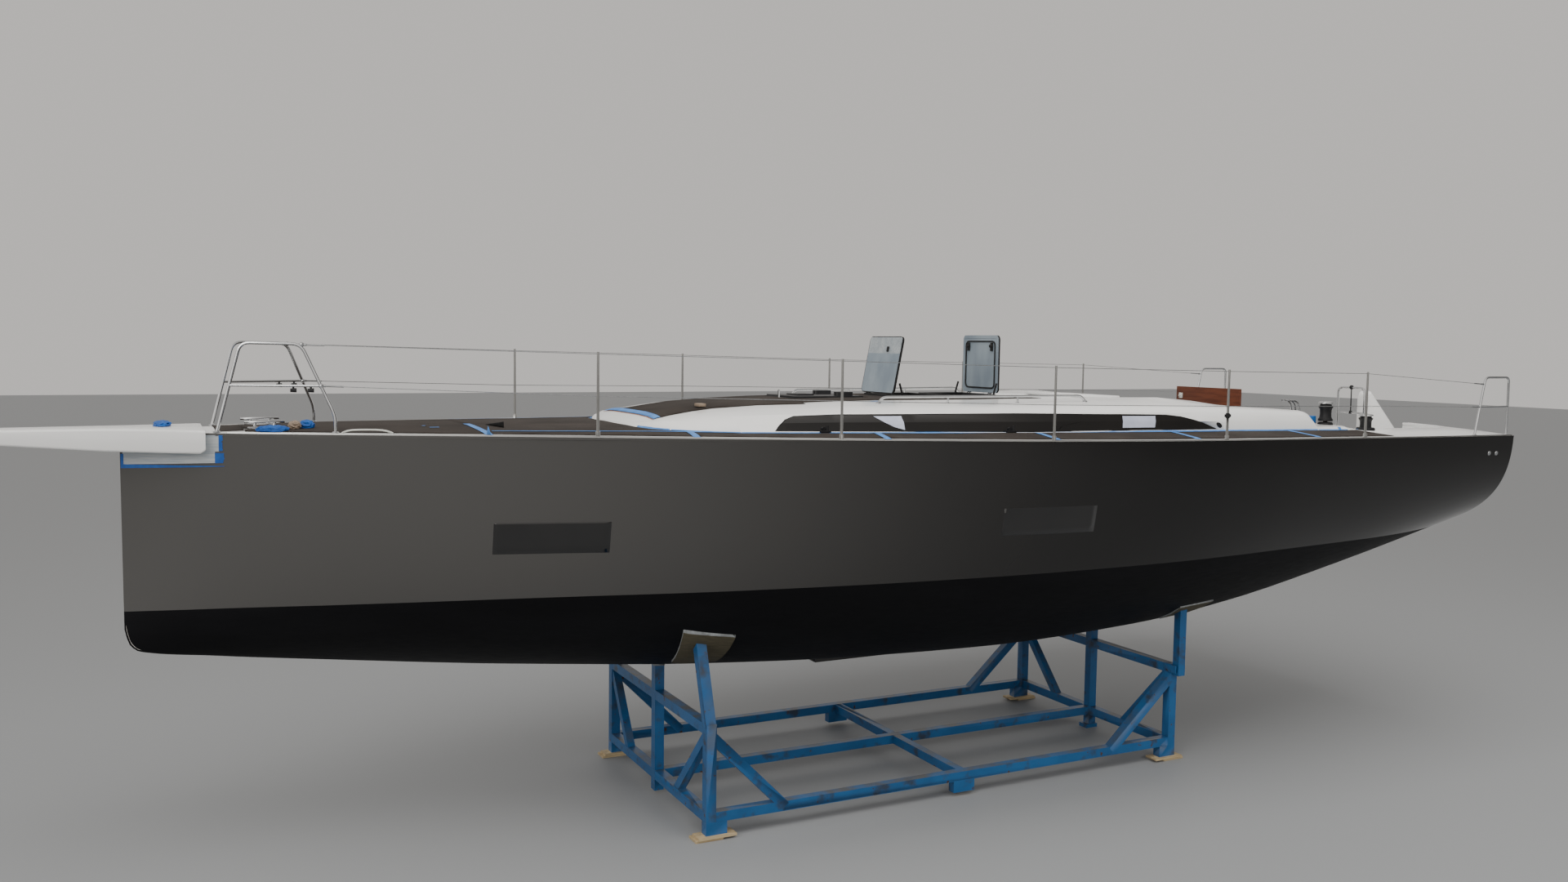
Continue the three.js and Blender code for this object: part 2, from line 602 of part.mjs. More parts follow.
// Mast place: plate with a row of rope blocks, no mast standing
const coachSkin = coachVolume(-GAP, COACH_FROM, COACH_TO, 300);
const step = union([
  box(5560, 6290, -300, 300, 3570, 3636),
  box(5680, 5860, -110, 110, 3634, 3650),
  ...[-240, -190, 190, 240].map((y) => box(6040, 6200, y - 18, y + 18, 3634, 3672)),
]);
add(boat, "mast_base", step.subtract(coachSkin), BLACK);

// Roof hatches: rim in the opening and acrylic lid, both lids standing open. Each lid turns with two
// knuckles on pins that the rim's ears hold.
for (const h of HATCHES) {
  let rim = box(h.from + GAP, h.to - GAP, -HATCH_HALF + GAP, HATCH_HALF - GAP, 3592, HATCH_RIM).subtract(
    box(h.from + 24, h.to - 24, -HATCH_HALF + 24, HATCH_HALF - 24, 3500, 3700),
  );
  const size = h.to - h.from + 38;
  let lid = box(0, size, -HATCH_HALF - 18, HATCH_HALF + 18, -4, 16);
  for (const y of [-180, 180]) {
    for (const ear of [y - 25, y + 13])
      rim = union([rim, rod(7, ear, ear + 12, h.hinge, HATCH_AXIS), sideways(
        [
          [h.hinge, HATCH_AXIS - 7], [h.hinge, HATCH_AXIS + 7],
          [h.hinge + h.side * 24, HATCH_RIM - 2], [h.hinge + h.side * 24, HATCH_RIM - 10],
          [h.hinge + h.side * 15, HATCH_RIM - 10], [h.hinge + h.side * 15, HATCH_RIM + 2],
        ],
        ear,
        ear + 12,
      )]);
    rim = rim.add(rod(PIN, y - 20, y + 20, h.hinge, HATCH_AXIS));
    lid = lid
      .subtract(box(-1, 24, y - 32, y + 32, -9, 20))
      .add(box(0, 26, y - 10, y + 10, -4, 9))
      .add(rod(9, y - 10, y + 10, 0, 0))
      .subtract(rod(PIN + 0.6, y - 11, y + 11, 0, 0));
  }
  add(boat, `hatch_rim_${h.name}`, rim, BLACK);
  add(
    boat,
    `hatch_lid_${h.name}`,
    h.side > 0 ? lid : lid.rotate([0, 0, 180]),
    ACRYLIC,
    [-h.hinge, 0, HATCH_AXIS],
    [0, THREE.MathUtils.degToRad(h.side * h.angle), 0],
  );
}

// Sliding companionway hatch, which runs on two rails of the coachroof
add(
  boat,
  "companionway_hatch",
  solid(new THREE.BoxGeometry(640, 780, 30)),
  WHITE,
  [-SLIDE.aft, 0, SLIDE.z],
  [0, -SLIDE.slope, 0],
);

// Toe rail with the stanchions and their feet
for (const [side, sign] of [["port", 1], ["stbd", -1]]) {
  const run = [RAIL_START, ...STATIONS.filter((s) => s > RAIL_START + 25), TRANSOM - 20];
  const rail = solid(
    loft(
      run.filter((s, i) => s < TRANSOM - 10 || i === run.length - 1).map((aft) => {
        const half = read(HULL, "half", aft);
        const z0 = (y) => deckTop(aft, y) + GAP;
        return [
          [half - 5, z0(half - 5)], [half - 8, z0(half) + RAIL],
          [half - 30, z0(half) + RAIL], [half - 34, z0(half - 34)],
        ].map(([y, z]) => new THREE.Vector3(forward(aft, z), sign * y, z));
      }),
    ),
  );
  const posts = STANCHIONS.flatMap(({ aft, more }) => {
    const y = read(HULL, "half", aft) - 30;
    const z = deckTop(aft, y - 20) + 2 * GAP;
    return [
      cylinder(TUBE, WIRE_POST + more, -aft, sign * y, z, 10, TUBE * 0.8),
      cylinder(19, 44, -aft, sign * y, z, 10),
    ];
  });
  add(boat, `toe_rail_${side}`, union([rail, ...posts]), RAILING);

  // Pulpit half: front leg, top rail, rear leg and middle rail
  const at = (aft, y, z) => [-aft, sign * y, z];
  const footing = (aft, y) => deckTop(aft, y - 36) + 2 * GAP;
  const feet = (aft, y, r = 28) => cylinder(r, 22, -aft, sign * y, footing(aft, y) - 10, 12);
  add(
    boat,
    `pulpit_${side}`,
    union([
      tube([
        at(655, 385, footing(655, 385) + 3), at(825, 420, 4078), at(1240, 545, 4072),
        at(1463, 690, 3531), at(1462, 690, footing(1462, 690) + 3),
      ], TUBE, 70),
      tube([at(741, 403, 3757), at(1370, 630, 3757)], TUBE * 0.8, 10),
      feet(655, 385),
      feet(1462, 690),
    ]).subtract(deckSkin),
    STEEL,
  );

  // Pushpit: forward leg, top rail, aft leg and middle rail
  add(
    boat,
    `pushpit_${side}`,
    union([
      tube([
        at(12765, 2040, footing(12765, 2040) + 3), at(12905, 2034, 3862),
        at(13318, 2018, 3862), at(13324, 2017, footing(13324, 2017) + 3),
      ], TUBE, 60),
      tube([at(12838, 2037, 3548), at(13321, 2017.5, 3548)], TUBE * 0.8, 10),
      feet(12765, 2040, 21),
      feet(13324, 2017, 21),
    ]).subtract(deckSkin),
    STEEL,
  );

  // Handrail on the coachroof
  const roof = (aft, y) => {
    const top = coachSide(aft);
    const i = top.findIndex((p) => p[0] <= y);
    const [a, b] = [top[i - 1], top[i]];
    return b[1] + ((a[1] - b[1]) * (y - b[0])) / (a[0] - b[0]);
  };
  add(
    boat,
    `handrail_${side}`,
    union([
      tube([
        at(6120, 868, roof(6120, 868) + 12), at(6165, 871, roof(6165, 871) + 55),
        at(8270, 1068, roof(8270, 1068) + 58), at(8325, 1072, roof(8325, 1072) + 12),
      ], TUBE, 45),
      ...[[6120, 868, 24, 28], [6830, 932, 9, 66], [7570, 1002, 9, 66], [8325, 1072, 24, 28]].map(
        ([aft, y, r, tall]) => cylinder(r, tall, -aft, sign * y, roof(aft, y) - 12, 12),
      ),
    ]).subtract(coachSkin),
    STEEL,
  );

  // Bow cleat
  const cleat = deckTop(1120, 200);
  add(
    boat,
    `bow_cleat_${side}`,
    union([
      box(880, 1120, sign * 235 - 30, sign * 235 + 30, cleat - 12, cleat + 12),
      ...[930, 1070].map((aft) => cylinder(11, 42, -aft, sign * 235, cleat + 8, 10)),
      tube([at(855, 235, cleat + 52), at(1145, 235, cleat + 52)], 11, 5),
    ]).subtract(deckSkin),
    STEEL,
  );
}

// Composite bowsprit: tapered arm ahead of the stem, cheeks and top plate bonded over the bow
const SPRIT = [
  { aft: -1100, half: 105, low: 3358, high: 3416 },
  { aft: -1060, half: 140, low: 3341, high: 3428 },
  { aft: -700, half: 165, low: 3312, high: 3430 },
  { aft: -420, half: 182, low: 3288, high: 3430 },
  { aft: -100, half: 205, low: 3262, high: 3430 },
  { aft: 60, half: 235, low: 3256, high: 3429 },
  { aft: 300, half: 335, low: 3251, high: 3427 },
  { aft: 540, half: 444, low: 3248, high: 3423 },
  { aft: 574, half: 458, low: 3272, high: 3420 },
];
const sprit = solid(
  loft(
    SPRIT.map(({ aft, half, low, high }) =>
      [
        [half - 8, low], [half, low + 12], [half, high - 12], [half - 12, high], [0, high + 3],
        [12 - half, high], [-half, high - 12], [-half, low + 12], [8 - half, low],
      ].map(([y, z]) => new THREE.Vector3(-aft, y, z)),
    ),
  ),
);
const bowDeck = deckSheet(-0.5, 2000, -40, GAP, 0.96).scale([1, 1.002, 1]);
const bowVolume = union([
  hullVolume(-GAP, 0, 2000),
  hullVolume(-GAP, 0, 2000, DECK_EDGE + 1),
  bowDeck,
  bowDeck.translate([0, 0, -2 * GAP]),
]);
add(boat, "bowsprit", sprit.subtract(bowVolume), WHITE);

// Port helm pedestal, its outer after edge cut off at a slant, and its guard; the starboard ones
// aren't fitted
const PEDESTAL = { in: 1080, out: 1230 };
const pedestalSide = [
  [12125, HELM.sole + GAP], [12125, 3590], [12136, 3650], [12165, 3684], [12203, 3686],
  [12675, 3215], [12750, 3060], [12750, HELM.sole + GAP],
];
const slant = new THREE.Vector3(0.5, -0.71, -0.5).normalize();
const slantAt = slant.dot(new THREE.Vector3(-12171, PEDESTAL.out, 3654));
add(
  boat,
  "helm_pedestal",
  sideways(pedestalSide, PEDESTAL.in, PEDESTAL.out).trimByPlane(slant.toArray(), slantAt),
  WHITE,
);
const GUARD = { aft: 11935, in: 985, out: 1325, top: 3725, bar: 3452 };
const guardAt = (y, z) => [-GUARD.aft, y, z];
add(
  boat,
  "helm_guard",
  union([
    tube([
      guardAt(GUARD.in, HELM.sole + 3), guardAt(GUARD.in, GUARD.top),
      guardAt(GUARD.out, GUARD.top), guardAt(GUARD.out, HELM.sole + 3),
    ], TUBE, 60),
    tube([guardAt(GUARD.in, GUARD.bar), guardAt(GUARD.out, GUARD.bar)], TUBE * 0.8, 5),
    cylinder(32, 10, -GUARD.aft, GUARD.in, HELM.sole + GAP, 12),
    cylinder(32, 10, -GUARD.aft, GUARD.out, HELM.sole + GAP, 12),
  ]),
  STEEL,
);

// Winches on the port side: fixed base and turning drum
const WINCHES = [
  { name: "fore", aft: 11358, y: 1318, z: 3348, foot: 78, wide: 1, tall: 1.17 },
  { name: "aft", aft: 11755, y: 1500, z: deckTop(11755, 1500) + 2, foot: 96, wide: 0.9, tall: 0.86 },
];
for (const w of WINCHES) {
  add(
    boat,
    `winch_base_${w.name}`,
    union([
      cylinder(w.foot, 20, -w.aft, w.y, w.z - 14, 24),
      cylinder(w.foot, 16, -w.aft, w.y, w.z + 6, 24, w.foot - 8),
      cylinder(22, 54, -w.aft, w.y, w.z, 24),
    ]).subtract(deckSkin.add(coachSkin)),
    BLACK,
  );
  const profile = [
    [22.7, 28], [74, 28], [76, 44], [62, 60], [58, 100], [64, 140], [74, 152], [74, 160], [60, 168],
    [60, 178], [76, 184], [74, 200], [30, 206], [0, 206], [0, 72], [22.7, 72],
  ].map(([r, z]) => new THREE.Vector2(r > 23 ? r * w.wide : r, z * w.tall));
  profile.push(profile[0].clone());
  const drum = new THREE.LatheGeometry(profile, 24);
  drum.rotateX(Math.PI / 2);
  add(boat, `winch_drum_${w.name}`, solid(drum), BLACK, [-w.aft, w.y, w.z]);
}

// Wooden board standing across the cockpit seats
add(boat, "cockpit_board", box(11028, 11054, -530, 440, WELL.seat + GAP, 3686), WOOD);

// Cabin sole, bulkheads, steps and engine, seen through the hatches and the companionway
add(boat, "cabin_sole", within.intersect(box(2400, 9000, -1500, 1500, 1680, 1706)), PLY);
add(
  boat,
  "bulkhead_fore",
  within
    .intersect(box(4420, 4450, -2500, 2500, 1706 + GAP, 3240))
    .subtract(box(4300, 4500, -250, 250, 1700, 3100)),
  PLY,
);
add(
  boat,
  "companionway_steps",
  union([0, 1, 2, 3].map((k) => box(8420 + k * 150, 9020, -260, 260, 1706 + GAP, 1960 + k * 240)))
    .intersect(box(8300, 9020, -260, 260, 1706 + GAP, 2700)),
  PLY,
);
add(boat, "engine_block", within.intersect(box(9060, 9760, -250, 250, 1100, 1900)), IRON);

// Cradle frame: posts on feet, beams along and across, braces. The front side posts kink inward to
// their plates; the rear side plates stand on tubes of their own, set outboard of the posts.
const { front, mid, rear, half: cw, tube: ct, low: cl, cross } = CRADLE;
const keelAt = (aft) => read(HULL, "keel", aft);
const p3 = (aft, y, z) => [-aft, y, z];
const PAD = 22; // thickness of the plates with their carpet
const BRACE = 88;
const padSkin = hullVolume(-PAD, 0, TRANSOM + 1, 60);
const padRoom = hullVolume(-PAD - GAP, 0, TRANSOM + 1, 60);
// Outlines of the port plates in plan, and the middle of the post under each.
const PADS = [
  {
    name: "front",
    outline: [[4150, 1075], [4604, 1130], [4625, 660], [4330, 540], [4235, 600]],
    head: 4345,
    y: 905,
  },
  { name: "rear", outline: [[9295, 1440], [9770, 1405], [9700, 1120], [9320, 1130]], head: 9440, y: cw + 92 },
];
const bars = [];
for (const pad of PADS) {
  const base = pad.name === "front" ? front : rear;
  const ahead = base === front ? 1 : -1; // which way the feet reach out
  const foot = (from, to, y0, y1, z0, z1) => {
    const ends = [base + ahead * from, base + ahead * to].sort((a, b) => a - b);
    bars.push(box(...ends, y0, y1, z0, z1));
  };
  for (const sign of [1, -1]) {
    bars.push(beam(p3(base, sign * cw, 0), p3(base, sign * cw, cross + 46), ct));
    if (base === front) bars.push(beam(p3(base, sign * cw, cross), p3(pad.head, sign * pad.y, 1720), ct));
    else {
      const joint = sign * (cw + 46);
      bars.push(beam(p3(pad.head, sign * pad.y, cross - 60), p3(pad.head, sign * pad.y, 1600), 84));
      for (const plate of [rear - 55, rear + 60])
        bars.push(box(plate, plate + 12, joint - 80, joint + 80, cross - 30, cross + 44));
      bars.push(box(rear - 45, rear + 62, joint - 8, joint + 8, cross - 50, cross + 40));
    }
    foot(-46, 148, sign * cw - 45, sign * cw + 45, -1, cl + 5);
    foot(-122, 225, sign * cw - 70, sign * cw + 78, -BLOCK / 2, 0);
    foot(-145, 105, sign * cw - 88, sign * cw + 66, -BLOCK, -BLOCK / 2);
  }
  bars.push(beam(p3(base, 0, 0), p3(base, 0, keelAt(base) + 30), ct));
  if (base === rear) foot(-60, 90, -60, 60, -BLOCK, 1);
  bars.push(beam(p3(base, -cw, cl + ct / 2), p3(base, cw, cl + ct / 2), ct - 2));
  bars.push(beam(p3(base, -cw, cross), p3(base, cw, cross), ct - 2));
}
for (const y of [cw, 0, -cw]) bars.push(beam(p3(front, y, cl + ct / 2), p3(rear, y, cl + ct / 2), ct - 4));
bars.push(beam(p3(mid, -cw, cl + ct / 2), p3(mid, cw, cl + ct / 2), ct - 6));
for (const sign of [1, -1]) {
  bars.push(box(mid - 118, mid + 108, sign * cw - 43, sign * cw + 43, 0, cl + 20));
  bars.push(beam(p3(front, sign * cw, 850), p3(front + 700, sign * cw, cl + 40), BRACE));
  bars.push(beam(p3(rear, sign * cw, 830), p3(rear - 770, sign * cw, cl + 40), BRACE));
  const inward = sign > 0 ? 500 : 710;
  bars.push(beam(p3(front, sign * cw, 870), p3(front, sign * inward, cl + 40), BRACE - 14));
  bars.push(beam(p3(rear, sign * cw, 880), p3(rear, sign * 540, cl + 40), BRACE - 14));
}
add(stand, "cradle_frame", union(bars).subtract(padRoom), BLUE);

// Plates with carpet between the cradle and the hull, bent to its bottom
const plates = padSkin.subtract(outside);
for (const pad of PADS) {
  for (const [side, sign] of [["port", 1], ["stbd", -1]]) {
    const outline = pad.outline.map(([aft, y]) => [aft, sign * y]);
    add(stand, `pad_${pad.name}_${side}`, plates.intersect(upward(outline, 900, 2200)), CARPET);
  }
  const base = pad.name === "front" ? front : rear;
  const half = ct / 2 + 2;
  add(
    stand,
    `pad_${pad.name}_keel`,
    plates.intersect(box(base - half, base + half, -half, half, 900, 2200)),
    CARPET,
  );
}

const yacht = new THREE.Group();
yacht.add(boat, stand);
export default yacht;
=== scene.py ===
import json
import math

import bmesh
import bpy
from mathutils import Matrix, Vector, noise
from mathutils.bvhtree import BVHTree

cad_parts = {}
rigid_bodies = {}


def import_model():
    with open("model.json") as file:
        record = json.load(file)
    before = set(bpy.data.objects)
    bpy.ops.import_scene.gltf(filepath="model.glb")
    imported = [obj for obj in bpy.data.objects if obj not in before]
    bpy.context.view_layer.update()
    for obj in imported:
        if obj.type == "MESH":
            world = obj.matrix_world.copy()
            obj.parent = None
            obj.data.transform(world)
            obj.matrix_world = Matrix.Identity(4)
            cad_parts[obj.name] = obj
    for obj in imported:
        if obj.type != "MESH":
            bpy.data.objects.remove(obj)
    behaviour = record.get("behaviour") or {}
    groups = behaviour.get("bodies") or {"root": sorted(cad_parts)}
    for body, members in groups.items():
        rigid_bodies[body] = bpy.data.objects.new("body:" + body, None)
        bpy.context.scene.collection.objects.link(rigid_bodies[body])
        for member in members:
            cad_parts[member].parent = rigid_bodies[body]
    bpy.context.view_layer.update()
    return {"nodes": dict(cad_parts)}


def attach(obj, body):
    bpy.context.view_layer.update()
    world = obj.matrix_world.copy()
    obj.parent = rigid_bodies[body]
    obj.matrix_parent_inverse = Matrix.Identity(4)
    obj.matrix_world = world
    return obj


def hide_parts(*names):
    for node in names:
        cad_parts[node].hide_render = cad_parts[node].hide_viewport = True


for leftover in list(bpy.data.objects):
    bpy.data.objects.remove(leftover)
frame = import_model()
nodes = frame["nodes"]

# Camera: it stands ahead of the bow on the port side, a little above the rail, and looks slightly
# down across the boat. Its place and lens come from the stanchion pairs and the cradle.
EYE = Vector((5.958, 10.809, 4.16))
YAW, PITCH, ROLL = math.radians(26.668), math.radians(4.355), math.radians(0.751)
FOCAL_PX, WIDTH_PX, SENSOR_MM = 1561.7, 1920, 36.0

ahead = Vector((-math.sin(YAW) * math.cos(PITCH), -math.cos(YAW) * math.cos(PITCH), -math.sin(PITCH)))
level = Vector((-math.cos(YAW), math.sin(YAW), 0))
above = level.cross(ahead)
right = level * math.cos(ROLL) + above * math.sin(ROLL)
upward = above * math.cos(ROLL) - level * math.sin(ROLL)
lens = bpy.data.cameras.new("camera")
lens.sensor_fit = "HORIZONTAL"
lens.sensor_width = SENSOR_MM
lens.lens = SENSOR_MM * FOCAL_PX / WIDTH_PX
lens.clip_end = 400
camera = bpy.data.objects.new("camera", lens)
bpy.context.scene.collection.objects.link(camera)
camera.matrix_world = Matrix.Translation(EYE) @ Matrix((right, upward, -ahead)).transposed().to_4x4()
bpy.context.scene.camera = camera


# Floor and light: a wide pale floor, a pale room whose open end lies ahead of the bow and whose far
# corner is dim, and three broad soft lamps overhead.
floor_mesh = bmesh.new()
bmesh.ops.create_grid(floor_mesh, x_segments=1, y_segments=1, size=90)
floor_data = bpy.data.meshes.new("floor")
floor_mesh.to_mesh(floor_data)
floor_mesh.free()
floor = bpy.data.objects.new("floor", floor_data)
bpy.context.scene.collection.objects.link(floor)
concrete = bpy.data.materials.new("pale_floor")
concrete.use_nodes = True
concrete.node_tree.nodes["Principled BSDF"].inputs["Base Color"].default_value = (0.3, 0.31, 0.32, 1)
concrete.node_tree.nodes["Principled BSDF"].inputs["Roughness"].default_value = 0.6
floor_data.materials.append(concrete)


def added(tree, kind, values=(), links=(), **settings):
    """New shader node with its settings, socket values and incoming links."""
    made = tree.nodes.new("ShaderNode" + kind)
    for name, value in settings.items():
        setattr(made, name, value)
    for socket, value in dict(values).items():
        made.inputs[socket].default_value = value
    for socket, source in dict(links).items():
        tree.links.new(source, made.inputs[socket])
    return made


DIM_END, OPEN_END, FAR_SIDE = 0.05, 1.45, 0.62  # brightness of the room behind the stern, ahead, abeam
room = bpy.data.worlds.new("room")
bpy.context.scene.world = room
room.use_nodes = True
sky = room.node_tree
compass = added(sky, "SeparateXYZ", links={"Vector": added(sky, "TexCoord").outputs["Generated"]})
lengthwise = added(sky, "MapRange",
                   {"From Min": -0.92, "From Max": 0.9, "To Min": DIM_END, "To Max": OPEN_END},
                   {"Value": compass.outputs["X"]})
crosswise = added(sky, "MapRange", {"From Min": -0.3, "From Max": 0.35}, {"Value": compass.outputs["Y"]},
                  interpolation_type="SMOOTHSTEP")
glow = added(sky, "Mix", {"A": FAR_SIDE},
             {"Factor": crosswise.outputs["Result"], "B": lengthwise.outputs["Result"]})
sky.nodes["Background"].inputs["Color"].default_value = (1.0, 0.965, 0.925, 1)
sky.links.new(glow.outputs["Result"], sky.nodes["Background"].inputs["Strength"])

LAMPS = [
    # name, place, aimed at, width, height, watts
    ("overhead", (0, 4, 12), (0, 0, 2), 18, 9, 1150),
    ("beam_side", (-6, 17, 9), (-1, 0, 2.0), 11, 5, 620),
    ("over_bow", (14, 9, 9), (3, 0, 2.6), 6, 5, 330),
]
for name, place_at, aim, wide, high, watts in LAMPS:
    lamp = bpy.data.lights.new(name, "AREA")
    lamp.shape = "RECTANGLE"
    lamp.size, lamp.size_y = wide, high
    lamp.energy = watts
    lamp.color = (1.0, 0.985, 0.96)
    holder = bpy.data.objects.new(name, lamp)
    bpy.context.scene.collection.objects.link(holder)
    holder.rotation_mode = "QUATERNION"
    holder.location = place_at
    holder.visible_glossy = name == "over_bow"  # the others would show as panes in the glass
    holder.rotation_quaternion = (Vector(aim) - Vector(place_at)).to_track_quat("-Z", "Y")


# Hull: a laminate shell sprayed in dark warm grey, with black bottom paint rolled on below a
# boundary that rises slightly towards the bow. The grey carries a painted reflection that makes it
# lighter and lighter towards the bow. Its lines are those of the part's own sections.
STEM_X, TRANSOM = 6.134, 13.345  # forward place of the stem, length aft to the transom
BLOCK = 0.04  # wood under the cradle's feet
RAKE_FROM, RAKE, RAKE_LOW, RAKE_TALL = 12.6, 0.02, 2.0, 1.235  # lean of the transom and where it starts
RIM = 0.0203  # the shell ends this far under the deck's edge
LAMINATE = 0.018  # thickness of the shell
HANDLE = 33.6  # depth of a section's first handle over its fall in the curve's first hundredth
HULL_LINES = [
    # aft, half, sheer, keel, rise, pull, drop, flare
    (0.0, 0.025, 3.4, 1.88, 30, 0.5, 0.5, 0.0),
    (0.03, 0.05, 3.4, 1.765, 30, 0.5, 0.5, 1.0),
    (0.1, 0.096, 3.4, 1.702, 30, 0.5, 0.5, 2.0),
    (0.6, 0.4, 3.399, 1.622, 32, 0.5, 0.5, 6.0),
    (1.5, 0.78, 3.394, 1.5, 26, 0.63, 0.55, 7.0),
    (3.0, 1.185, 3.375, 1.312, 15, 0.76, 0.6, 7.0),
    (4.5, 1.59, 3.354, 1.167, 9.5, 0.83, 0.62, 6.0),
    (6.0, 1.895, 3.33, 1.091, 7.5, 0.84, 0.62, 5.0),
    (7.5, 2.09, 3.305, 1.066, 6.5, 0.83, 0.6, 4.0),
    (9.0, 2.17, 3.285, 1.124, 5.5, 0.8, 0.58, 3.0),
    (10.5, 2.17, 3.27, 1.275, 4.0, 0.68, 0.56, 2.5),
    (12.0, 2.135, 3.252, 1.612, 5.2, 0.6, 0.7, 2.0),
    (13.345, 2.077, 3.239, 1.915, 8.5, 0.78, 0.58, 1.4),
]


def lines_at(aft):
    """Every column of the hull's lines at a distance aft, on smooth curves between the rows."""
    rows = HULL_LINES
    if aft <= rows[0][0]:
        return rows[0][1:]
    if aft >= rows[-1][0]:
        return rows[-1][1:]
    i = max(k for k in range(len(rows) - 1) if rows[k][0] <= aft)
    h = rows[i + 1][0] - rows[i][0]
    t = (aft - rows[i][0]) / h

    def rate(k, c):
        return (rows[k + 1][c] - rows[k][c]) / (rows[k + 1][0] - rows[k][0])

    def slope(k, c):
        if k == 0:
            return rate(0, c)
        if k == len(rows) - 1:
            return rate(k - 1, c)
        before, after = rate(k - 1, c), rate(k, c)
        return 0 if before * after <= 0 else 2 * before * after / (before + after)

    return [
        (2 * t**3 - 3 * t**2 + 1) * rows[i][c]
        + (t**3 - 2 * t**2 + t) * h * slope(i, c)
        + (3 * t**2 - 2 * t**3) * rows[i + 1][c]
        + (t**3 - t**2) * h * slope(i + 1, c)
        for c in range(1, 8)
    ]


def place(aft, y, z):
    """Point at a distance aft of the stem, across, and above the cradle's steel feet."""
    return Vector((STEM_X - aft, y, z + BLOCK))


def section(aft, t):
    """Half-beam and height on the hull's section, from the sheer (t = 0) to the keel line (t = 1)."""
    half, sheer, keel, rise, pull, drop, flare = lines_at(aft)
    depth = (sheer - keel) * drop
    handle = pull * half
    points = [
        (half, sheer),
        (half - depth * math.tan(math.radians(flare)), sheer - depth),
        (max(0.001, handle), keel + handle * math.tan(math.radians(rise))),
        (0.0, keel),
    ]
    weights = [(1 - t) ** 3, 3 * t * (1 - t) ** 2, 3 * t * t * (1 - t), t**3]
    return [sum(w * p[k] for w, p in zip(weights, points)) for k in (0, 1)]


def raked(aft, z):
    """The transom leans, so points near the stern move aft with their height."""
    share = min(1, max(0, (aft - RAKE_FROM) / (TRANSOM - RAKE_FROM)))
    return aft + share * RAKE * (z - RAKE_LOW) / RAKE_TALL


def share_at(aft, value, axis):
    """Place on the section's curve where the half-beam (axis 0) or the height (axis 1) has a value."""
    low, high = 0.0, 1.0
    for _ in range(30):
        middle = (low + high) / 2
        if section(aft, middle)[axis] > value:
            low = middle
        else:
            high = middle
    return low


def side_point(aft, z, out=0.0):
    """Point on the port topsides at a distance aft and a height, moved outwards by a little."""
    t = share_at(aft, z, 1)
    y = section(aft, t)[0]
    below = section(aft, min(1, t + 0.02))
    along = Vector((0.05, section(max(0, aft - 0.05), t)[0] - y, 0))
    down = Vector((0, below[0] - y, below[1] - section(aft, t)[1]))
    normal = along.cross(down).normalized()
    if normal.y < 0:
        normal.negate()
    return place(raked(aft, z), y, z) + normal * out


def piece(name, bm, materials, body="yacht", stands_for=(), smooth=35):
    """Finished mesh piece: it rides on a body, may stand for nodes of the part, and takes the
    materials given."""
    mesh = bpy.data.meshes.new(name)
    bm.to_mesh(mesh)
    bm.free()
    materials = materials if isinstance(materials, list) else [materials]
    for material in materials:
        mesh.materials.append(material)
    if smooth:
        mesh.shade_smooth()
        mesh.set_sharp_from_angle(angle=math.radians(smooth))
    thing = bpy.data.objects.new(name, mesh)
    bpy.context.scene.collection.objects.link(thing)
    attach(thing, body)
    if stands_for:
        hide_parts(*stands_for)
    return thing


def walled(thing, thickness, **settings):
    """Give a skin its thickness, inwards."""
    wall = thing.modifiers.new("wall", "SOLIDIFY")
    wall.thickness = thickness
    wall.offset = -1
    for name, value in settings.items():
        setattr(wall, name, value)


def surface(name, colour, second, rough, metal=0.0, patch=1.2, grain=60, depth=0.0, coat=0.0,
            stretch=(1, 1, 1), band=(0.35, 0.65), sheen=0.0, clear=0.0, shine=0.5):
    """Material with two mottled colours, uneven gloss and a fine bump; all patterns in metres."""
    material = bpy.data.materials.new(name)
    material.use_nodes = True
    tree = material.node_tree
    shader = tree.nodes["Principled BSDF"]
    for socket, amount in (("Metallic", metal), ("Coat Weight", coat), ("Coat Roughness", 0.03),
                           ("Specular IOR Level", shine), ("Sheen Weight", sheen),
                           ("Transmission Weight", clear)):
        shader.inputs[socket].default_value = amount
    place_in = added(tree, "TexCoord").outputs["Object"]
    spread = added(tree, "Mapping", {"Scale": stretch}, {"Vector": place_in}).outputs["Vector"]
    clouds = added(tree, "TexNoise", {"Scale": patch, "Detail": 6}, {"Vector": spread}).outputs["Fac"]
    fine = added(tree, "TexNoise", {"Scale": grain, "Detail": 4}, {"Vector": spread}).outputs["Fac"]
    share = added(tree, "MapRange", {"From Min": band[0], "From Max": band[1]}, {"Value": clouds})
    blend = added(tree, "Mix", {"A": (*colour, 1), "B": (*second, 1)}, {"Factor": share.outputs["Result"]},
                  data_type="RGBA")
    gloss = added(tree, "MapRange", {"To Min": rough[0], "To Max": rough[1]}, {"Value": fine})
    tree.links.new(blend.outputs["Result"], shader.inputs["Base Color"])
    tree.links.new(gloss.outputs["Result"], shader.inputs["Roughness"])
    if depth:
        bump = added(tree, "Bump", {"Strength": 1.0, "Distance": depth}, {"Height": fine})
        tree.links.new(bump.outputs["Normal"], shader.inputs["Normal"])
    return material


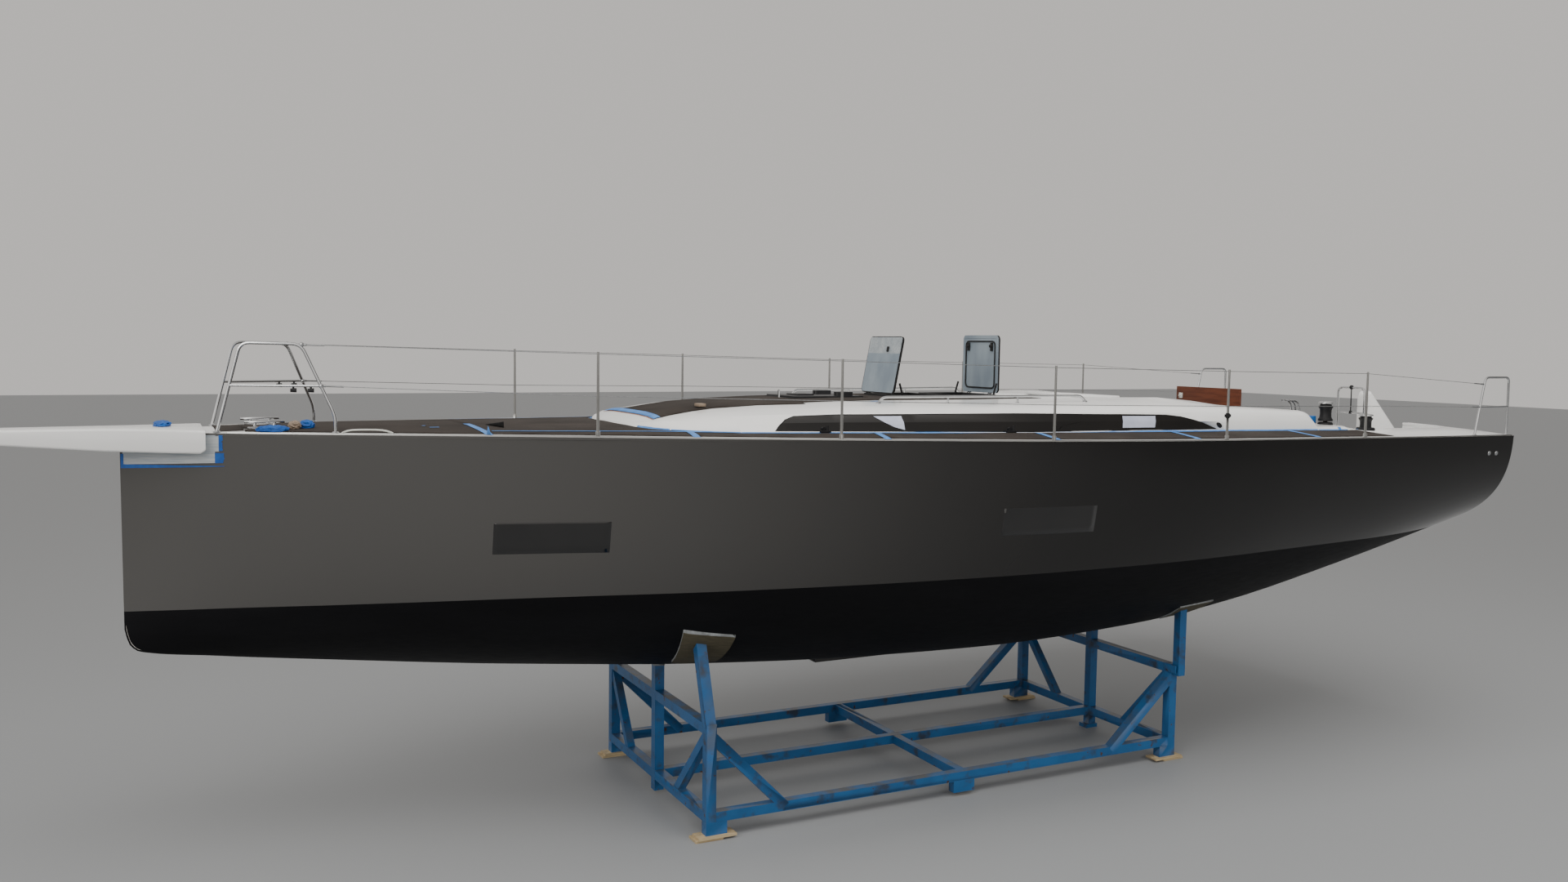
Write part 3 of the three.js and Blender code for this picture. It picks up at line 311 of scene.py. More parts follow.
def layered(material, colour, low, high, scale=None, upward=False, along=False):
    """Lay another colour over a material's own: in spots of noise, also only on what faces up, or more
    and more along the boat, which serves as a painted reflection."""
    tree = material.node_tree
    under = tree.nodes["Principled BSDF"].inputs["Base Color"]
    where = added(tree, "TexCoord").outputs
    parts = added(tree, "SeparateXYZ", links={"Vector": where["Object" if along else "Normal"]}).outputs
    pattern = parts["X"]
    if not along:
        pattern = added(tree, "TexNoise", {"Scale": scale, "Detail": 8},
                        {"Vector": where["Object"]}).outputs["Fac"]
    amount = added(tree, "MapRange", {"From Min": low, "From Max": high}, {"Value": pattern},
                   interpolation_type="SMOOTHERSTEP" if along else "LINEAR").outputs["Result"]
    if upward:
        amount = added(tree, "Math", links={0: amount, 1: parts["Z"]}, operation="MULTIPLY",
                       use_clamp=True).outputs["Value"]
    over = added(tree, "Mix", {"B": (*colour, 1)}, {"A": under.links[0].from_socket, "Factor": amount},
                 data_type="RGBA")
    tree.links.new(over.outputs["Result"], under)


def cut(bm, point, normal, drop=False):
    """Cut a whole mesh by a plane, and drop what lies past it where asked."""
    bmesh.ops.bisect_plane(bm, geom=bm.verts[:] + bm.edges[:] + bm.faces[:], plane_co=point,
                           plane_no=normal, clear_outer=drop)


topsides = surface("topsides_paint_and_painted_reflection", (0.006, 0.0056, 0.0054), (0.0085, 0.0078, 0.0075),
                   (0.1, 0.17), patch=0.6, grain=2.2, coat=0.36, shine=0.24)
# Painted reflection: the grey grows lighter towards the bow, standing in for the bright open end of the
# room mirrored in the paint.
layered(topsides, (0.08, 0.0775, 0.074), -2.8, 5.4, along=True)
bottom = surface("bottom_paint", (0.0016, 0.0016, 0.0024), (0.0042, 0.0042, 0.0055), (0.48, 0.66),
                 patch=1.6, grain=26, depth=0.00025, stretch=(0.25, 1, 1.6), band=(0.45, 0.75),
                 shine=0.16)
PAINT_LINE = (2.146, 0.0135)  # height at amidships, fall per metre forward
lining = surface("hull_lining", (0.42, 0.41, 0.38), (0.36, 0.35, 0.33), (0.5, 0.7), grain=30,
                 depth=0.0006)

ALONG, ROUND = 84, 72
hull_mesh = bmesh.new()
bmesh.ops.create_grid(hull_mesh, x_segments=ALONG, y_segments=ROUND, size=1)
first_ring, last_ring = [], []
for v in hull_mesh.verts:
    u = (v.co.x + 1) / 2
    side = v.co.y
    aft = TRANSOM * u**1.8
    rim_t = RIM / (3 * (lines_at(aft)[1] - section(aft, 0.01)[1]) * HANDLE)
    half, z = section(aft, rim_t + (1 - rim_t) * (1 - abs(side)))
    if u < 1e-6:
        first_ring.append((side, v))
    if u > 1 - 1e-6:
        last_ring.append((side, v))
    v.co = place(raked(aft, z), math.copysign(half, -side) if abs(side) > 1e-6 else 0.0, z)
first_ring = [v for _, v in sorted(first_ring, key=lambda pair: pair[0])]
last_ring = [v for _, v in sorted(last_ring, key=lambda pair: pair[0])]
hull_mesh.faces.new(first_ring)
GATE_HALF, GATE_SILL = 0.8, 2.3
top_z = last_ring[0].co.z - BLOCK
gate = [
    hull_mesh.verts.new(place(raked(TRANSOM, z), y, z))
    for y, z in [(-GATE_HALF, top_z), (-GATE_HALF, GATE_SILL), (GATE_HALF, GATE_SILL), (GATE_HALF, top_z)]
]
hull_mesh.faces.new(last_ring + gate)
line_normal = Vector((PAINT_LINE[1], 0, 1)).normalized()
line_point = Vector((0, 0, PAINT_LINE[0]))
cut(hull_mesh, line_point, line_normal)
for face in hull_mesh.faces:
    if (face.calc_center_median() - line_point).dot(line_normal) < 0:
        face.material_index = 1
bmesh.ops.recalc_face_normals(hull_mesh, faces=hull_mesh.faces)
hull = piece("hull_shell", hull_mesh, [topsides, bottom, lining], stands_for=["hull"], smooth=0)
walled(hull, LAMINATE, material_offset=2, material_offset_rim=0)
shell = bpy.data.meshes.new_from_object(hull.evaluated_get(bpy.context.evaluated_depsgraph_get()))
hull.modifiers.clear()
hull.data = shell
shell.shade_smooth()
shell.set_sharp_from_angle(angle=math.radians(32))


# Keel landing and platform hinges: a flat moulded pad under the hull where the keel bolts on, and two
# pairs of stainless ears with their pins at the foot of the opening in the transom.
def rounded(bm, geom, width, segments=2, affect="EDGES"):
    """Round edges, or the corners of a flat outline."""
    bmesh.ops.bevel(bm, geom=geom, offset=width, affect=affect, segments=segments, profile=0.5,
                    material=-1)


def block(bm, low, high, edge):
    """Box between two corners with its edges rounded."""
    made = bmesh.ops.create_cube(bm, size=1)["verts"]
    size = Vector(high) - Vector(low)
    bmesh.ops.scale(bm, vec=size, verts=made)
    bmesh.ops.translate(bm, vec=(Vector(high) + Vector(low)) / 2, verts=made)
    rounded(bm, list({e for v in made for e in v.link_edges}), edge)


def pin(bm, a, b, radius, end=None, steps=20):
    """Round bar or cone between two points."""
    a, b = Vector(a), Vector(b)
    turn = (b - a).to_track_quat("Z", "Y").to_matrix().to_4x4()
    bmesh.ops.create_cone(bm, cap_ends=True, segments=steps, radius1=radius,
                          radius2=radius if end is None else end, depth=(b - a).length,
                          matrix=Matrix.Translation((a + b) / 2) @ turn)


stainless = surface("stainless", (0.66, 0.67, 0.68), (0.58, 0.59, 0.6), (0.1, 0.24),
                    metal=1.0, patch=9, grain=160, depth=0.00004)
landing = bmesh.new()
block(landing, place(7.1, -0.14, 1.058), place(5.9, 0.14, 1.1), edge=0.006)
piece("keel_landing", landing, topsides)
ears = bmesh.new()
for y in (-0.6, 0.6):
    for ear in (y - 0.019, y + 0.019):
        block(ears, place(13.368, ear - 0.005, 2.263), place(13.346, ear + 0.005, 2.3), edge=0.0015)
        pin(ears, place(13.361, ear - 0.005, 2.303), place(13.361, ear + 0.005, 2.303), 0.007)
    pin(ears, place(13.361, y - 0.026, 2.303), place(13.361, y + 0.026, 2.303), 0.005)
piece("platform_hinge_ears", ears, stainless)


# Hull windows: long panes of dark toughened glass bonded flush into the topsides, each with a black
# ceramic border that hides the adhesive.
WINDOWS = {"fwd": (2.59, 3.47, 2.44, 2.695), "aft": (6.757, 7.687, 2.493, 2.735)}
CORNER, BORDER, PROUD, PANE = 0.006, 0.022, 0.0006, 0.006
SIDES = (("port", 1), ("stbd", -1))


def cut_in_strips(bm, step, axes=(0, 2)):
    """Cut every face by evenly spaced planes, so that it can follow a curved surface."""
    for axis in axes:
        low = min(v.co[axis] for v in bm.verts)
        high = max(v.co[axis] for v in bm.verts)
        normal = Vector([1.0 if k == axis else 0.0 for k in range(3)])
        for k in range(1, math.ceil((high - low) / step)):
            cut(bm, normal * (low + k * step), normal)


def rounded_pane(bm, from_aft, to_aft, low, high, corner):
    """Flat rectangle with round corners in the side view, as one face."""
    corners = bmesh.ops.create_grid(bm, x_segments=1, y_segments=1, size=0.5)["verts"]
    bmesh.ops.scale(bm, vec=(to_aft - from_aft, high - low, 1), verts=corners)
    rounded(bm, corners, corner, 6, "VERTICES")
    turn = Matrix.Translation((-(from_aft + to_aft) / 2, 0, (low + high) / 2))
    bmesh.ops.transform(bm, matrix=turn @ Matrix.Rotation(math.radians(90), 4, "X"), verts=bm.verts)


dark_glass = surface("dark_glass", (0.006, 0.006, 0.006), (0.01, 0.009, 0.009),
                     (0.02, 0.05), patch=2, grain=4, coat=0.4)
ceramic = surface("black_border", (0.01, 0.01, 0.011), (0.016, 0.016, 0.017), (0.1, 0.2),
                  patch=8, grain=40)
for label, (fore, after, low, high) in WINDOWS.items():
    for side, sign in SIDES:
        pane = bmesh.new()
        rounded_pane(pane, fore, after, low, high, CORNER)
        rim = bmesh.ops.inset_region(pane, faces=pane.faces[:], thickness=BORDER)["faces"]
        for face in rim:
            face.material_index = 1
        cut_in_strips(pane, 0.06)
        for v in pane.verts:
            v.co = side_point(-v.co.x, v.co.z, PROUD)
            v.co.y *= sign
        bmesh.ops.recalc_face_normals(pane, faces=pane.faces)
        if sum(f.normal.y for f in pane.faces) * sign < 0:
            bmesh.ops.reverse_faces(pane, faces=pane.faces)
        made = piece(f"hull_pane_{side}_{label}", pane, [dark_glass, ceramic],
                     stands_for=[f"hull_window_{side}_{label}"], smooth=40)
        walled(made, PANE)


# Deck: one white gelcoat moulding for deck, coachroof, coamings and cockpit, bonded on the hull's
# rim. Its outer edge is sprayed in the topsides' grey.
white = surface("white_gelcoat", (0.82, 0.82, 0.81), (0.76, 0.765, 0.755), (0.16, 0.26),
                patch=0.8, grain=9, coat=0.3)


def merged(node):
    """Copy of a node's mesh with its loose triangles joined."""
    bm = bmesh.new()
    bm.from_mesh(nodes[node].data)
    bmesh.ops.remove_doubles(bm, verts=bm.verts, dist=2e-5)
    return bm


def copy_of(node, material, body="yacht", smooth=32, edge=0.0):
    """Merged copy of a node with smooth shading and, where asked, rounded edges."""
    bm = merged(node)
    if edge:
        bmesh.ops.dissolve_limit(bm, angle_limit=0.02, verts=bm.verts, edges=bm.edges)
        sharp = [e for e in bm.edges if len(e.link_faces) == 2 and e.calc_face_angle(0) > 0.5]
        rounded(bm, sharp, edge)
    piece(node + "_look", bm, material, body, [node], smooth)


def deck_z(aft, y):
    """Height of the deck's crown."""
    half, sheer = lines_at(aft)[:2]
    return sheer + 0.035 * half * (1 - min(1, (y / half) ** 2))


deck = merged("deck_moulding")
deck_tree = BVHTree.FromBMesh(deck)
for face in deck.faces:
    middle = face.calc_center_median()
    half = lines_at(STEM_X - middle.x)[0]
    if abs(face.normal.z) < 0.6 and abs(middle.y) > half - 0.012:
        face.material_index = 1
piece("deck_look", deck, [white, topsides], stands_for=["deck_moulding"], smooth=22)


def on_deck(aft, y, lift=0.0):
    """Highest point of the deck moulding at a place, moved out along its normal."""
    point, normal, _, _ = deck_tree.ray_cast(Vector((STEM_X - aft, y, 6)), Vector((0, 0, -1)))
    return point + normal * lift


# Coachroof windows: one long dark pane of smoked acrylic in each side, bonded flush in its rebate so
# that only a thin shadow line shows round it.
roof_glass = surface("roof_glass", (0.004, 0.0034, 0.003), (0.007, 0.0056, 0.0048),
                     (0.02, 0.06), patch=1.5, grain=5, coat=0.2, clear=0.08)
panes = bmesh.new()
for side, _ in SIDES:
    copy_of("roof_window_" + side, roof_glass, smooth=30)
    panes.from_mesh(nodes["roof_window_" + side].data)
glass_tree = BVHTree.FromBMesh(panes)
panes.free()


# Protective covers: dull brown-grey felt with a film back, cut in sheets, laid on the side decks and
# the roof, and taped together where they meet.
felt = surface("cover_felt", (0.026, 0.021, 0.018), (0.042, 0.034, 0.029), (0.75, 0.95),
               patch=2.2, grain=900, depth=0.0006, sheen=0.03, shine=0.08)
deck_sheets = [
    # from, to, sides
    (0.85, 2.55, (0,)), (2.55, 4.15, (0,)), (4.15, 5.76, (1, -1)), (5.76, 7.37, (1, -1)),
    (7.37, 8.95, (1, -1)), (8.95, 10.49, (1, -1)), (10.49, 11.53, (1, -1)),
]
roof_sheets = [(4.064, 5.456, (0,)), (5.456, 8.1, (0,))]
SHEET, SHEET_GAP = 0.003, 0.001
BOW_LOW = 3.3  # the deck's upper skin is higher than this near the bow


def laid_sheet(name, node, fore, after, side, stands_for, trim=None, lift=0.0):
    """One sheet of cover: the node's upper skin between two stations, with slight waves."""
    bm = merged(node)
    bmesh.ops.delete(bm, geom=[f for f in bm.faces if f.normal.z < 0.5], context="FACES")
    if trim:
        low = [f for f in bm.faces if f.calc_center_median().z < BOW_LOW + BLOCK]
        bmesh.ops.delete(bm, geom=low, context="FACES")
        for across in (1, -1):
            cut(bm, (0, across * trim, 0), (0, across, 0), True)
        bmesh.ops.translate(bm, vec=(0, 0, lift), verts=bm.verts)
    for at, outward in ((fore + SHEET_GAP, 1), (after - SHEET_GAP, -1)):
        cut(bm, (STEM_X - at, 0, 0), (outward, 0, 0), True)
    if side:
        cut(bm, (0, 0, 0), (0, -side, 0), True)
    cut_in_strips(bm, 0.09, axes=(0, 1))
    area = sum(f.calc_area() for f in bm.faces)
    for v in bm.verts:
        wave = 0.5 + 0.5 * noise.noise(Vector((v.co.x * 2.3, v.co.y * 3.1, 4.0)))
        v.co.z += 0.0055 * max(0, wave - 0.35)
    made = piece(name, bm, felt, stands_for=stands_for, smooth=50)
    walled(made, SHEET)


for node, rows in (("deck_cover", deck_sheets), ("roof_cover", roof_sheets)):
    for k, (fore, after, sides) in enumerate(rows):
        for side in sides:
            tail = {0: "", 1: "_port", -1: "_stbd"}[side]
            laid_sheet(f"{node}_sheet_{k + 1}{tail}", node, fore, after, side, [node])
laid_sheet("deck_cover_bow", "deck_moulding", 0.65, 0.849, 0, (), 0.33, 0.0035)


# Tape: light-blue crepe tape over the seams of the covers and along the foot of the coachroof.
tape = surface("blue_tape", (0.06, 0.2, 0.52), (0.1, 0.27, 0.6), (0.5, 0.7), patch=14, grain=240,
               depth=0.0004)
SKY = Vector((0, 0, -1))
covers = bmesh.new()
for name in ("deck_cover", "roof_cover", "deck_moulding"):
    covers.from_mesh(nodes[name].data)
cover_tree = BVHTree.FromBMesh(covers)
covers.free()


def strip(bm, path, width, lift, toward=SKY, step=0.05, ragged=0.0):
    """Narrow band pressed along a path of points onto covers and deck, seen along a direction."""
    toward = Vector(toward)
    path = [Vector(p) for p in path]
    runs = [(b - a).length for a, b in zip(path, path[1:])]
    total = sum(runs)
    count = max(2, math.ceil(total / step))
    made = bmesh.ops.create_grid(bm, x_segments=count, y_segments=2, size=1)["verts"]
    for v in made:
        s = (v.co.x + 1) / 2 * total
        k = 0
        while k < len(runs) - 1 and s > runs[k]:
            s -= runs[k]
            k += 1
        along = (path[k + 1] - path[k]).normalized()
        across = along.cross(toward).normalized()
        rough = ragged * noise.noise(Vector((s * 31 + k, v.co.y * 7, 1.7)))
        spot = path[k] + along * s + across * (v.co.y * width / 2 + rough)
        hit, normal, _, _ = cover_tree.ray_cast(spot - toward * 3, toward)
        v.co = (hit if hit else spot) + (normal if hit else -toward) * lift


def flat(aft, y):
    """Point over the deck in plan."""
    return Vector((STEM_X - aft, y, 3.5))


SEAMS = [
    ((4.18, 1.095), (4.105, 1.48)), ((5.8, 1.37), (5.685, 1.78)),
    ((7.42, 1.49), (7.29, 1.97)), ((9.0, 1.53), (8.84, 2.06)), ((10.53, 1.56), (10.41, 2.06)),
]
WIDE_TAPE, TAPE_THICK, SEAM_LIFT = 0.058, 0.0005, 0.0045
seam_tape = bmesh.new()
for a, b in SEAMS:
    for _, sign in SIDES:
        strip(seam_tape, [flat(a[0], sign * a[1]), flat(b[0], sign * b[1])], WIDE_TAPE, SEAM_LIFT)
strip(seam_tape, [flat(2.56, 0.18), flat(2.556, 1.066)], WIDE_TAPE, SEAM_LIFT, ragged=0.004)
COACH_BASE = [
    (3.862, 0.3), (3.9, 0.62), (3.965, 0.8), (4.01, 0.87), (4.07, 0.94), (4.2, 1.03),
    (4.4, 1.136), (4.6, 1.215), (5.0, 1.285), (5.45, 1.33), (6.2, 1.41), (7.3, 1.47),
    (8.4, 1.5), (9.34, 1.51), (10.0, 1.52), (10.87, 1.53), (11.44, 1.54),
]
NOSE_TAPE, FOOT_TAPE, EDGE_TAPE, FRONT_TAPE, FRONT_EDGE = 0.034, 0.028, 0.03, 0.06, 4.064
for _, sign in SIDES:
    nose = [place(aft - 0.004, sign * base, deck_z(aft, base)) for aft, base in COACH_BASE[1:5]]
    strip(seam_tape, nose, NOSE_TAPE, 0.0012, (-0.8, -0.6 * sign, -1), 0.02)
    beside = [place(aft, sign * (base + 0.004), deck_z(aft, base)) for aft, base in COACH_BASE[2:]]
    strip(seam_tape, beside, FOOT_TAPE, 0.0012, (-0.25, -sign, -1))
    strip(seam_tape, [flat(2.62, sign * 0.8), flat(3.892, sign * 1.03), flat(4.55, sign * 1.235)],
          EDGE_TAPE, 0.0048, ragged=0.004)
strip(seam_tape, [flat(FRONT_EDGE, -0.662), flat(FRONT_EDGE, 0.662)], FRONT_TAPE, 0.0085)
walled(piece("seam_tape", seam_tape, tape, smooth=60), TAPE_THICK)


# Orange line and painted window light: a thin tape ahead of the roof's front seam, and pale patches
# laid on parts of the coachroof's glass as painted light showing through the windows.
orange = surface("orange_tape", (0.62, 0.22, 0.06), (0.5, 0.17, 0.05), (0.5, 0.7), patch=30,
                 grain=200)
thin_line = bmesh.new()
strip(thin_line, [flat(FRONT_EDGE - 0.034, -0.655), flat(FRONT_EDGE - 0.034, 0.655)], 0.007, 0.0012)
piece("orange_line", thin_line, orange, smooth=60)
# Painted light: pale patches on the glass standing in for light showing through the coachroof windows.
window_light_paint = surface("painted_window_light", (0.5, 0.53, 0.64), (0.42, 0.45, 0.56), (0.25, 0.45),
                     patch=7, grain=60, depth=0.0004)
window_light_patches = bmesh.new()
for corners in (((5.85, 3.5), (6.11, 3.5), (6.09, 3.385), (6.0, 3.41), (5.92, 3.45)),
                ((8.47, 3.478), (8.87, 3.474), (8.835, 3.368), (8.44, 3.37))):
    for _, sign in SIDES:
        knots = [window_light_patches.verts.new((STEM_X - aft, sign * 3.0, z + BLOCK)) for aft, z in corners]
        window_light_patches.faces.new(knots)
cut_in_strips(window_light_patches, 0.02)
for v in window_light_patches.verts:
    inward = Vector((0, -math.copysign(1, v.co.y), 0))
    hit, normal, _, _ = glass_tree.ray_cast(v.co, inward)
    v.co = hit + normal * 0.0022 if hit else v.co + inward * 1.5
window_light_patches.normal_update()
piece("window_light_patches", window_light_patches, window_light_paint, smooth=60)


# Bowsprit: a white moulded arm with cheeks bonded over the bow. Pale filler is pulled over the seam
# between the arm and the topsides, and torn masking tape keeps it off the paint, both as thin skins.
copy_of("bowsprit", white, smooth=30, edge=0.004)
filler = surface("seam_filler", (0.34, 0.38, 0.42), (0.48, 0.5, 0.5), (0.5, 0.75), patch=9,
                 grain=60, depth=0.0006, stretch=(0.5, 1, 14))
masking = surface("masking_tape", (0.004, 0.072, 0.31), (0.008, 0.105, 0.4), (0.45, 0.65),
                  patch=20, grain=200, depth=0.0005)
LEAN = 0.038  # rise of the filler's lower edge per metre aft


def tinted(verts, slot):
    """Give the faces at these vertices one of the piece's materials, and return them."""
    faces = {f for v in verts for f in v.link_faces}
    for face in faces:
        face.material_index = slot
    return faces


SKINS = [
    # material, from, to, low, high, out, ragged, columns, rows
    (0, 0.018, 0.64, 3.15, 3.266, 0.0012, 0.012, 24, 5),
    (0, 0.545, 0.668, 3.236, 3.385, 0.0012, 0.01, 4, 10),
    (1, 0.004, 0.7, 3.121, 3.152, 0.002, 0.006, 24, 3),
    (1, 0.004, 0.024, 3.15, 3.23, 0.002, 0.003, 3, 6),
    (1, 0.638, 0.698, 3.148, 3.25, 0.0017, 0.014, 4, 9),
    (1, 0.664, 0.69, 3.24, 3.385, 0.0017, 0.012, 3, 12),
]
joint = bmesh.new()
for slot, fore, after, low, high, out, ragged, columns, rows in SKINS:
    for _, sign in SIDES:
        skin = bmesh.ops.create_grid(joint, x_segments=columns, y_segments=rows, size=0.5)["verts"]
        for v in skin:
            u, w = v.co.x + 0.5, v.co.y + 0.5
            tear = ragged * noise.noise(Vector((fore * 9, w * 23, low + slot)))
            aft = fore + (after - fore) * u + tear * u
            v.co = side_point(aft, low + (high - low) * w + LEAN * aft * (1 - w), out)
            v.co.y *= sign
        faces = tinted(skin, slot)
        if sum(f.normal.y for f in faces) * sign < 0:
            bmesh.ops.reverse_faces(joint, faces=list(faces))
joint.normal_update()
piece("bow_joint", joint, [filler, masking], smooth=60)


# Toe rails: grey anodised alloy sections bent to each deck edge and screwed down, with five stanchions
# a side in cast sockets.
alloy = surface("anodised_alloy", (0.54, 0.54, 0.52), (0.46, 0.46, 0.45), (0.28, 0.42),
                metal=1.0, patch=3, grain=300, depth=0.00005)
for side, _ in SIDES:
    copy_of("toe_rail_" + side, alloy, smooth=40)


# Pulpit, pushpit and handrails: polished stainless tube, cold bent in one run each, with thinner rails
# welded between and round flanges at the feet.
TUBE, THIN, BEND_STEPS = 0.0125, 0.01, 5
lamp_black = surface("black_housing", (0.01, 0.01, 0.011), (0.018, 0.018, 0.019),
                     (0.25, 0.4), patch=9, grain=200)


def bar(bm, points, radius, bend=0.07):
    """Round bar along a path whose corners are rounded first."""
    points = [Vector(p) for p in points]
    path = [points[0]]
    for before, corner, after in zip(points, points[1:], points[2:]):
        back = min(bend, (corner - before).length * 0.45)
        on = min(bend, (after - corner).length * 0.45)
        start = corner + (before - corner).normalized() * back
        end = corner + (after - corner).normalized() * on
        for k in range(BEND_STEPS + 1):
            t = k / BEND_STEPS
            path.append(start * (1 - t) ** 2 + corner * 2 * t * (1 - t) + end * t * t)
    path.append(points[-1])
    curve = bpy.data.curves.new("bar", "CURVE")
    curve.dimensions = "3D"
    spline = curve.splines.new("POLY")
    spline.points.add(len(path) - 1)
    for knot, p in zip(spline.points, path):
        knot.co = (*p, 1)
    curve.bevel_depth = radius
    curve.bevel_resolution = 3
    curve.use_fill_caps = True
    holder = bpy.data.objects.new("bar", curve)
    bpy.context.scene.collection.objects.link(holder)
    drawn = bpy.data.meshes.new_from_object(holder)
    bm.from_mesh(drawn)
    bpy.data.objects.remove(holder)
    bpy.data.curves.remove(curve)
    bpy.data.meshes.remove(drawn)


def foot(bm, point, radius, tall=0.012):
    """Round flange with a low collar."""
    up = Vector((0, 0, 1))
    pin(bm, point, point + up * tall * 0.55, radius, radius, 24)
    pin(bm, point + up * tall * 0.55, point + up * tall, radius * 0.93, radius * 0.62, 24)


def deck_point(aft, y):
    """Where a rail's foot stands near the deck's edge."""
    return place(aft, y, deck_z(aft, abs(y) - 0.036) + 0.0006)


PULPIT_MID, PUSHPIT_TOP, PUSHPIT_MID = 3.757, 3.862, 3.548
for side, sign in SIDES:
    rails = bmesh.new()
    bar(rails, [deck_point(0.655, sign * 0.385), place(0.825, sign * 0.42, 4.078),
                place(1.24, sign * 0.545, 4.072), place(1.463, sign * 0.69, 3.531),
                deck_point(1.462, sign * 0.69)], TUBE, 0.07)
    bar(rails, [place(0.741, sign * 0.403, PULPIT_MID), place(1.37, sign * 0.63, PULPIT_MID)], THIN)
    for aft, y in ((0.655, 0.385), (1.462, 0.69)):
        foot(rails, deck_point(aft, sign * y), 0.028)
    for aft, y, z in ((1.246, 0.548, 4.068), (1.372, 0.631, PULPIT_MID)):
        bmesh.ops.create_uvsphere(rails, u_segments=16, v_segments=10, radius=0.019,
                                  matrix=Matrix.Translation(place(aft, sign * y, z)))
    piece(f"pulpit_tube_{side}", rails, stainless, stands_for=[f"pulpit_{side}"])
    lights = bmesh.new()
    for aft, y in ((1.18, 0.562), (1.3, 0.604)):
        under = place(aft, sign * y, PULPIT_MID)
        pin(lights, under - Vector((0, 0, 0.008)), under - Vector((0, 0, 0.03)), 0.008)
        pin(lights, under - Vector((0.022, 0, 0.034)), under - Vector((-0.022, 0, 0.034)), 0.017, 0.014)
    piece(f"pulpit_lights_{side}", lights, lamp_black)

    rails = bmesh.new()
    bar(rails, [deck_point(12.765, sign * 2.04), place(12.905, sign * 2.034, PUSHPIT_TOP),
                place(13.318, sign * 2.018, PUSHPIT_TOP), deck_point(13.324, sign * 2.017)], TUBE, 0.06)
    bar(rails, [place(12.838, sign * 2.037, PUSHPIT_MID), place(13.321, sign * 2.0175, PUSHPIT_MID)], THIN)
    for aft, y in ((12.765, 2.04), (13.324, 2.017)):
        foot(rails, deck_point(aft, sign * y), 0.021)
    piece(f"pushpit_tube_{side}", rails, stainless, stands_for=[f"pushpit_{side}"])

    rails = bmesh.new()
    bar(rails, [on_deck(6.12, sign * 0.868, 0.002), on_deck(6.165, sign * 0.871, 0.055),
                on_deck(8.27, sign * 1.068, 0.058), on_deck(8.325, sign * 1.072, 0.002)], TUBE, 0.045)
    for aft, y in ((6.12, 0.868), (8.325, 1.072)):
        foot(rails, on_deck(aft, sign * y), 0.024)
    for aft, y in ((6.83, 0.932), (7.57, 1.002)):
        pin(rails, on_deck(aft, sign * y), on_deck(aft, sign * y, 0.055), 0.009)
        foot(rails, on_deck(aft, sign * y), 0.018, 0.008)
    piece(f"handrail_tube_{side}", rails, stainless, stands_for=[f"handrail_{side}"])


# Helm guard: a hoop of the same tube ahead of the pedestal with a thinner cross bar welded in, and a
# small black compass ball on a stalk that is clamped to the bar.
GUARD_AFT, GUARD_IN, GUARD_OUT, HELM_SOLE = 11.935, 0.985, 1.325, 2.8
GUARD_TOP, GUARD_BAR = 3.725, 3.452
hoop = bmesh.new()
bar(hoop, [place(GUARD_AFT, GUARD_IN, HELM_SOLE + 0.003), place(GUARD_AFT, GUARD_IN, GUARD_TOP),
           place(GUARD_AFT, GUARD_OUT, GUARD_TOP), place(GUARD_AFT, GUARD_OUT, HELM_SOLE + 0.003)],
    TUBE, 0.06)
bar(hoop, [place(GUARD_AFT, GUARD_IN, GUARD_BAR), place(GUARD_AFT, GUARD_OUT, GUARD_BAR)], THIN)
for y in (GUARD_IN, GUARD_OUT):
    foot(hoop, place(GUARD_AFT, y, HELM_SOLE + 0.0004), 0.032)
piece("helm_hoop", hoop, stainless, stands_for=["helm_guard"])
black = surface("black_fitting", (0.009, 0.009, 0.01), (0.015, 0.015, 0.016),
                (0.3, 0.48), patch=9, grain=200, depth=0.0001, shine=0.25)
compass_ball = bmesh.new()
middle = (GUARD_IN + GUARD_OUT) / 2
ball_at, bar_at = place(GUARD_AFT, middle, GUARD_TOP), place(GUARD_AFT, middle, GUARD_BAR)
bmesh.ops.create_uvsphere(compass_ball, u_segments=24, v_segments=16, radius=0.024,
                          matrix=Matrix.Translation(place(GUARD_AFT, middle, GUARD_TOP + 0.004)))
pin(compass_ball, bar_at, ball_at, 0.006)
pin(compass_ball, place(GUARD_AFT, middle, GUARD_BAR - 0.01), place(GUARD_AFT, middle, GUARD_BAR + 0.022),
    0.02, 0.014)
piece("helm_compass", compass_ball, black)


# Left on the foredeck: crumpled masking tape and paper rolled into lumps by hand, and a white bent
# tube that lies along the port edge. They lie loose on the covers.
def lump(bm, aft, y, z, size, seed, slot=0):
    """Crumpled lump with creases, its middle at a place."""
    made = bmesh.ops.create_icosphere(bm, subdivisions=4, radius=0.5)["verts"]
    for v in made:
        crease = abs(noise.noise(v.co * 3.1 + Vector((seed, 0, 0)))) * 0.5 + noise.noise(v.co * 9) * 0.08
        v.co *= 1.12 - crease
        v.co = Vector((v.co.x * size[0], v.co.y * size[1], v.co.z * size[2])) + place(aft, y, z)
    tinted(made, slot)


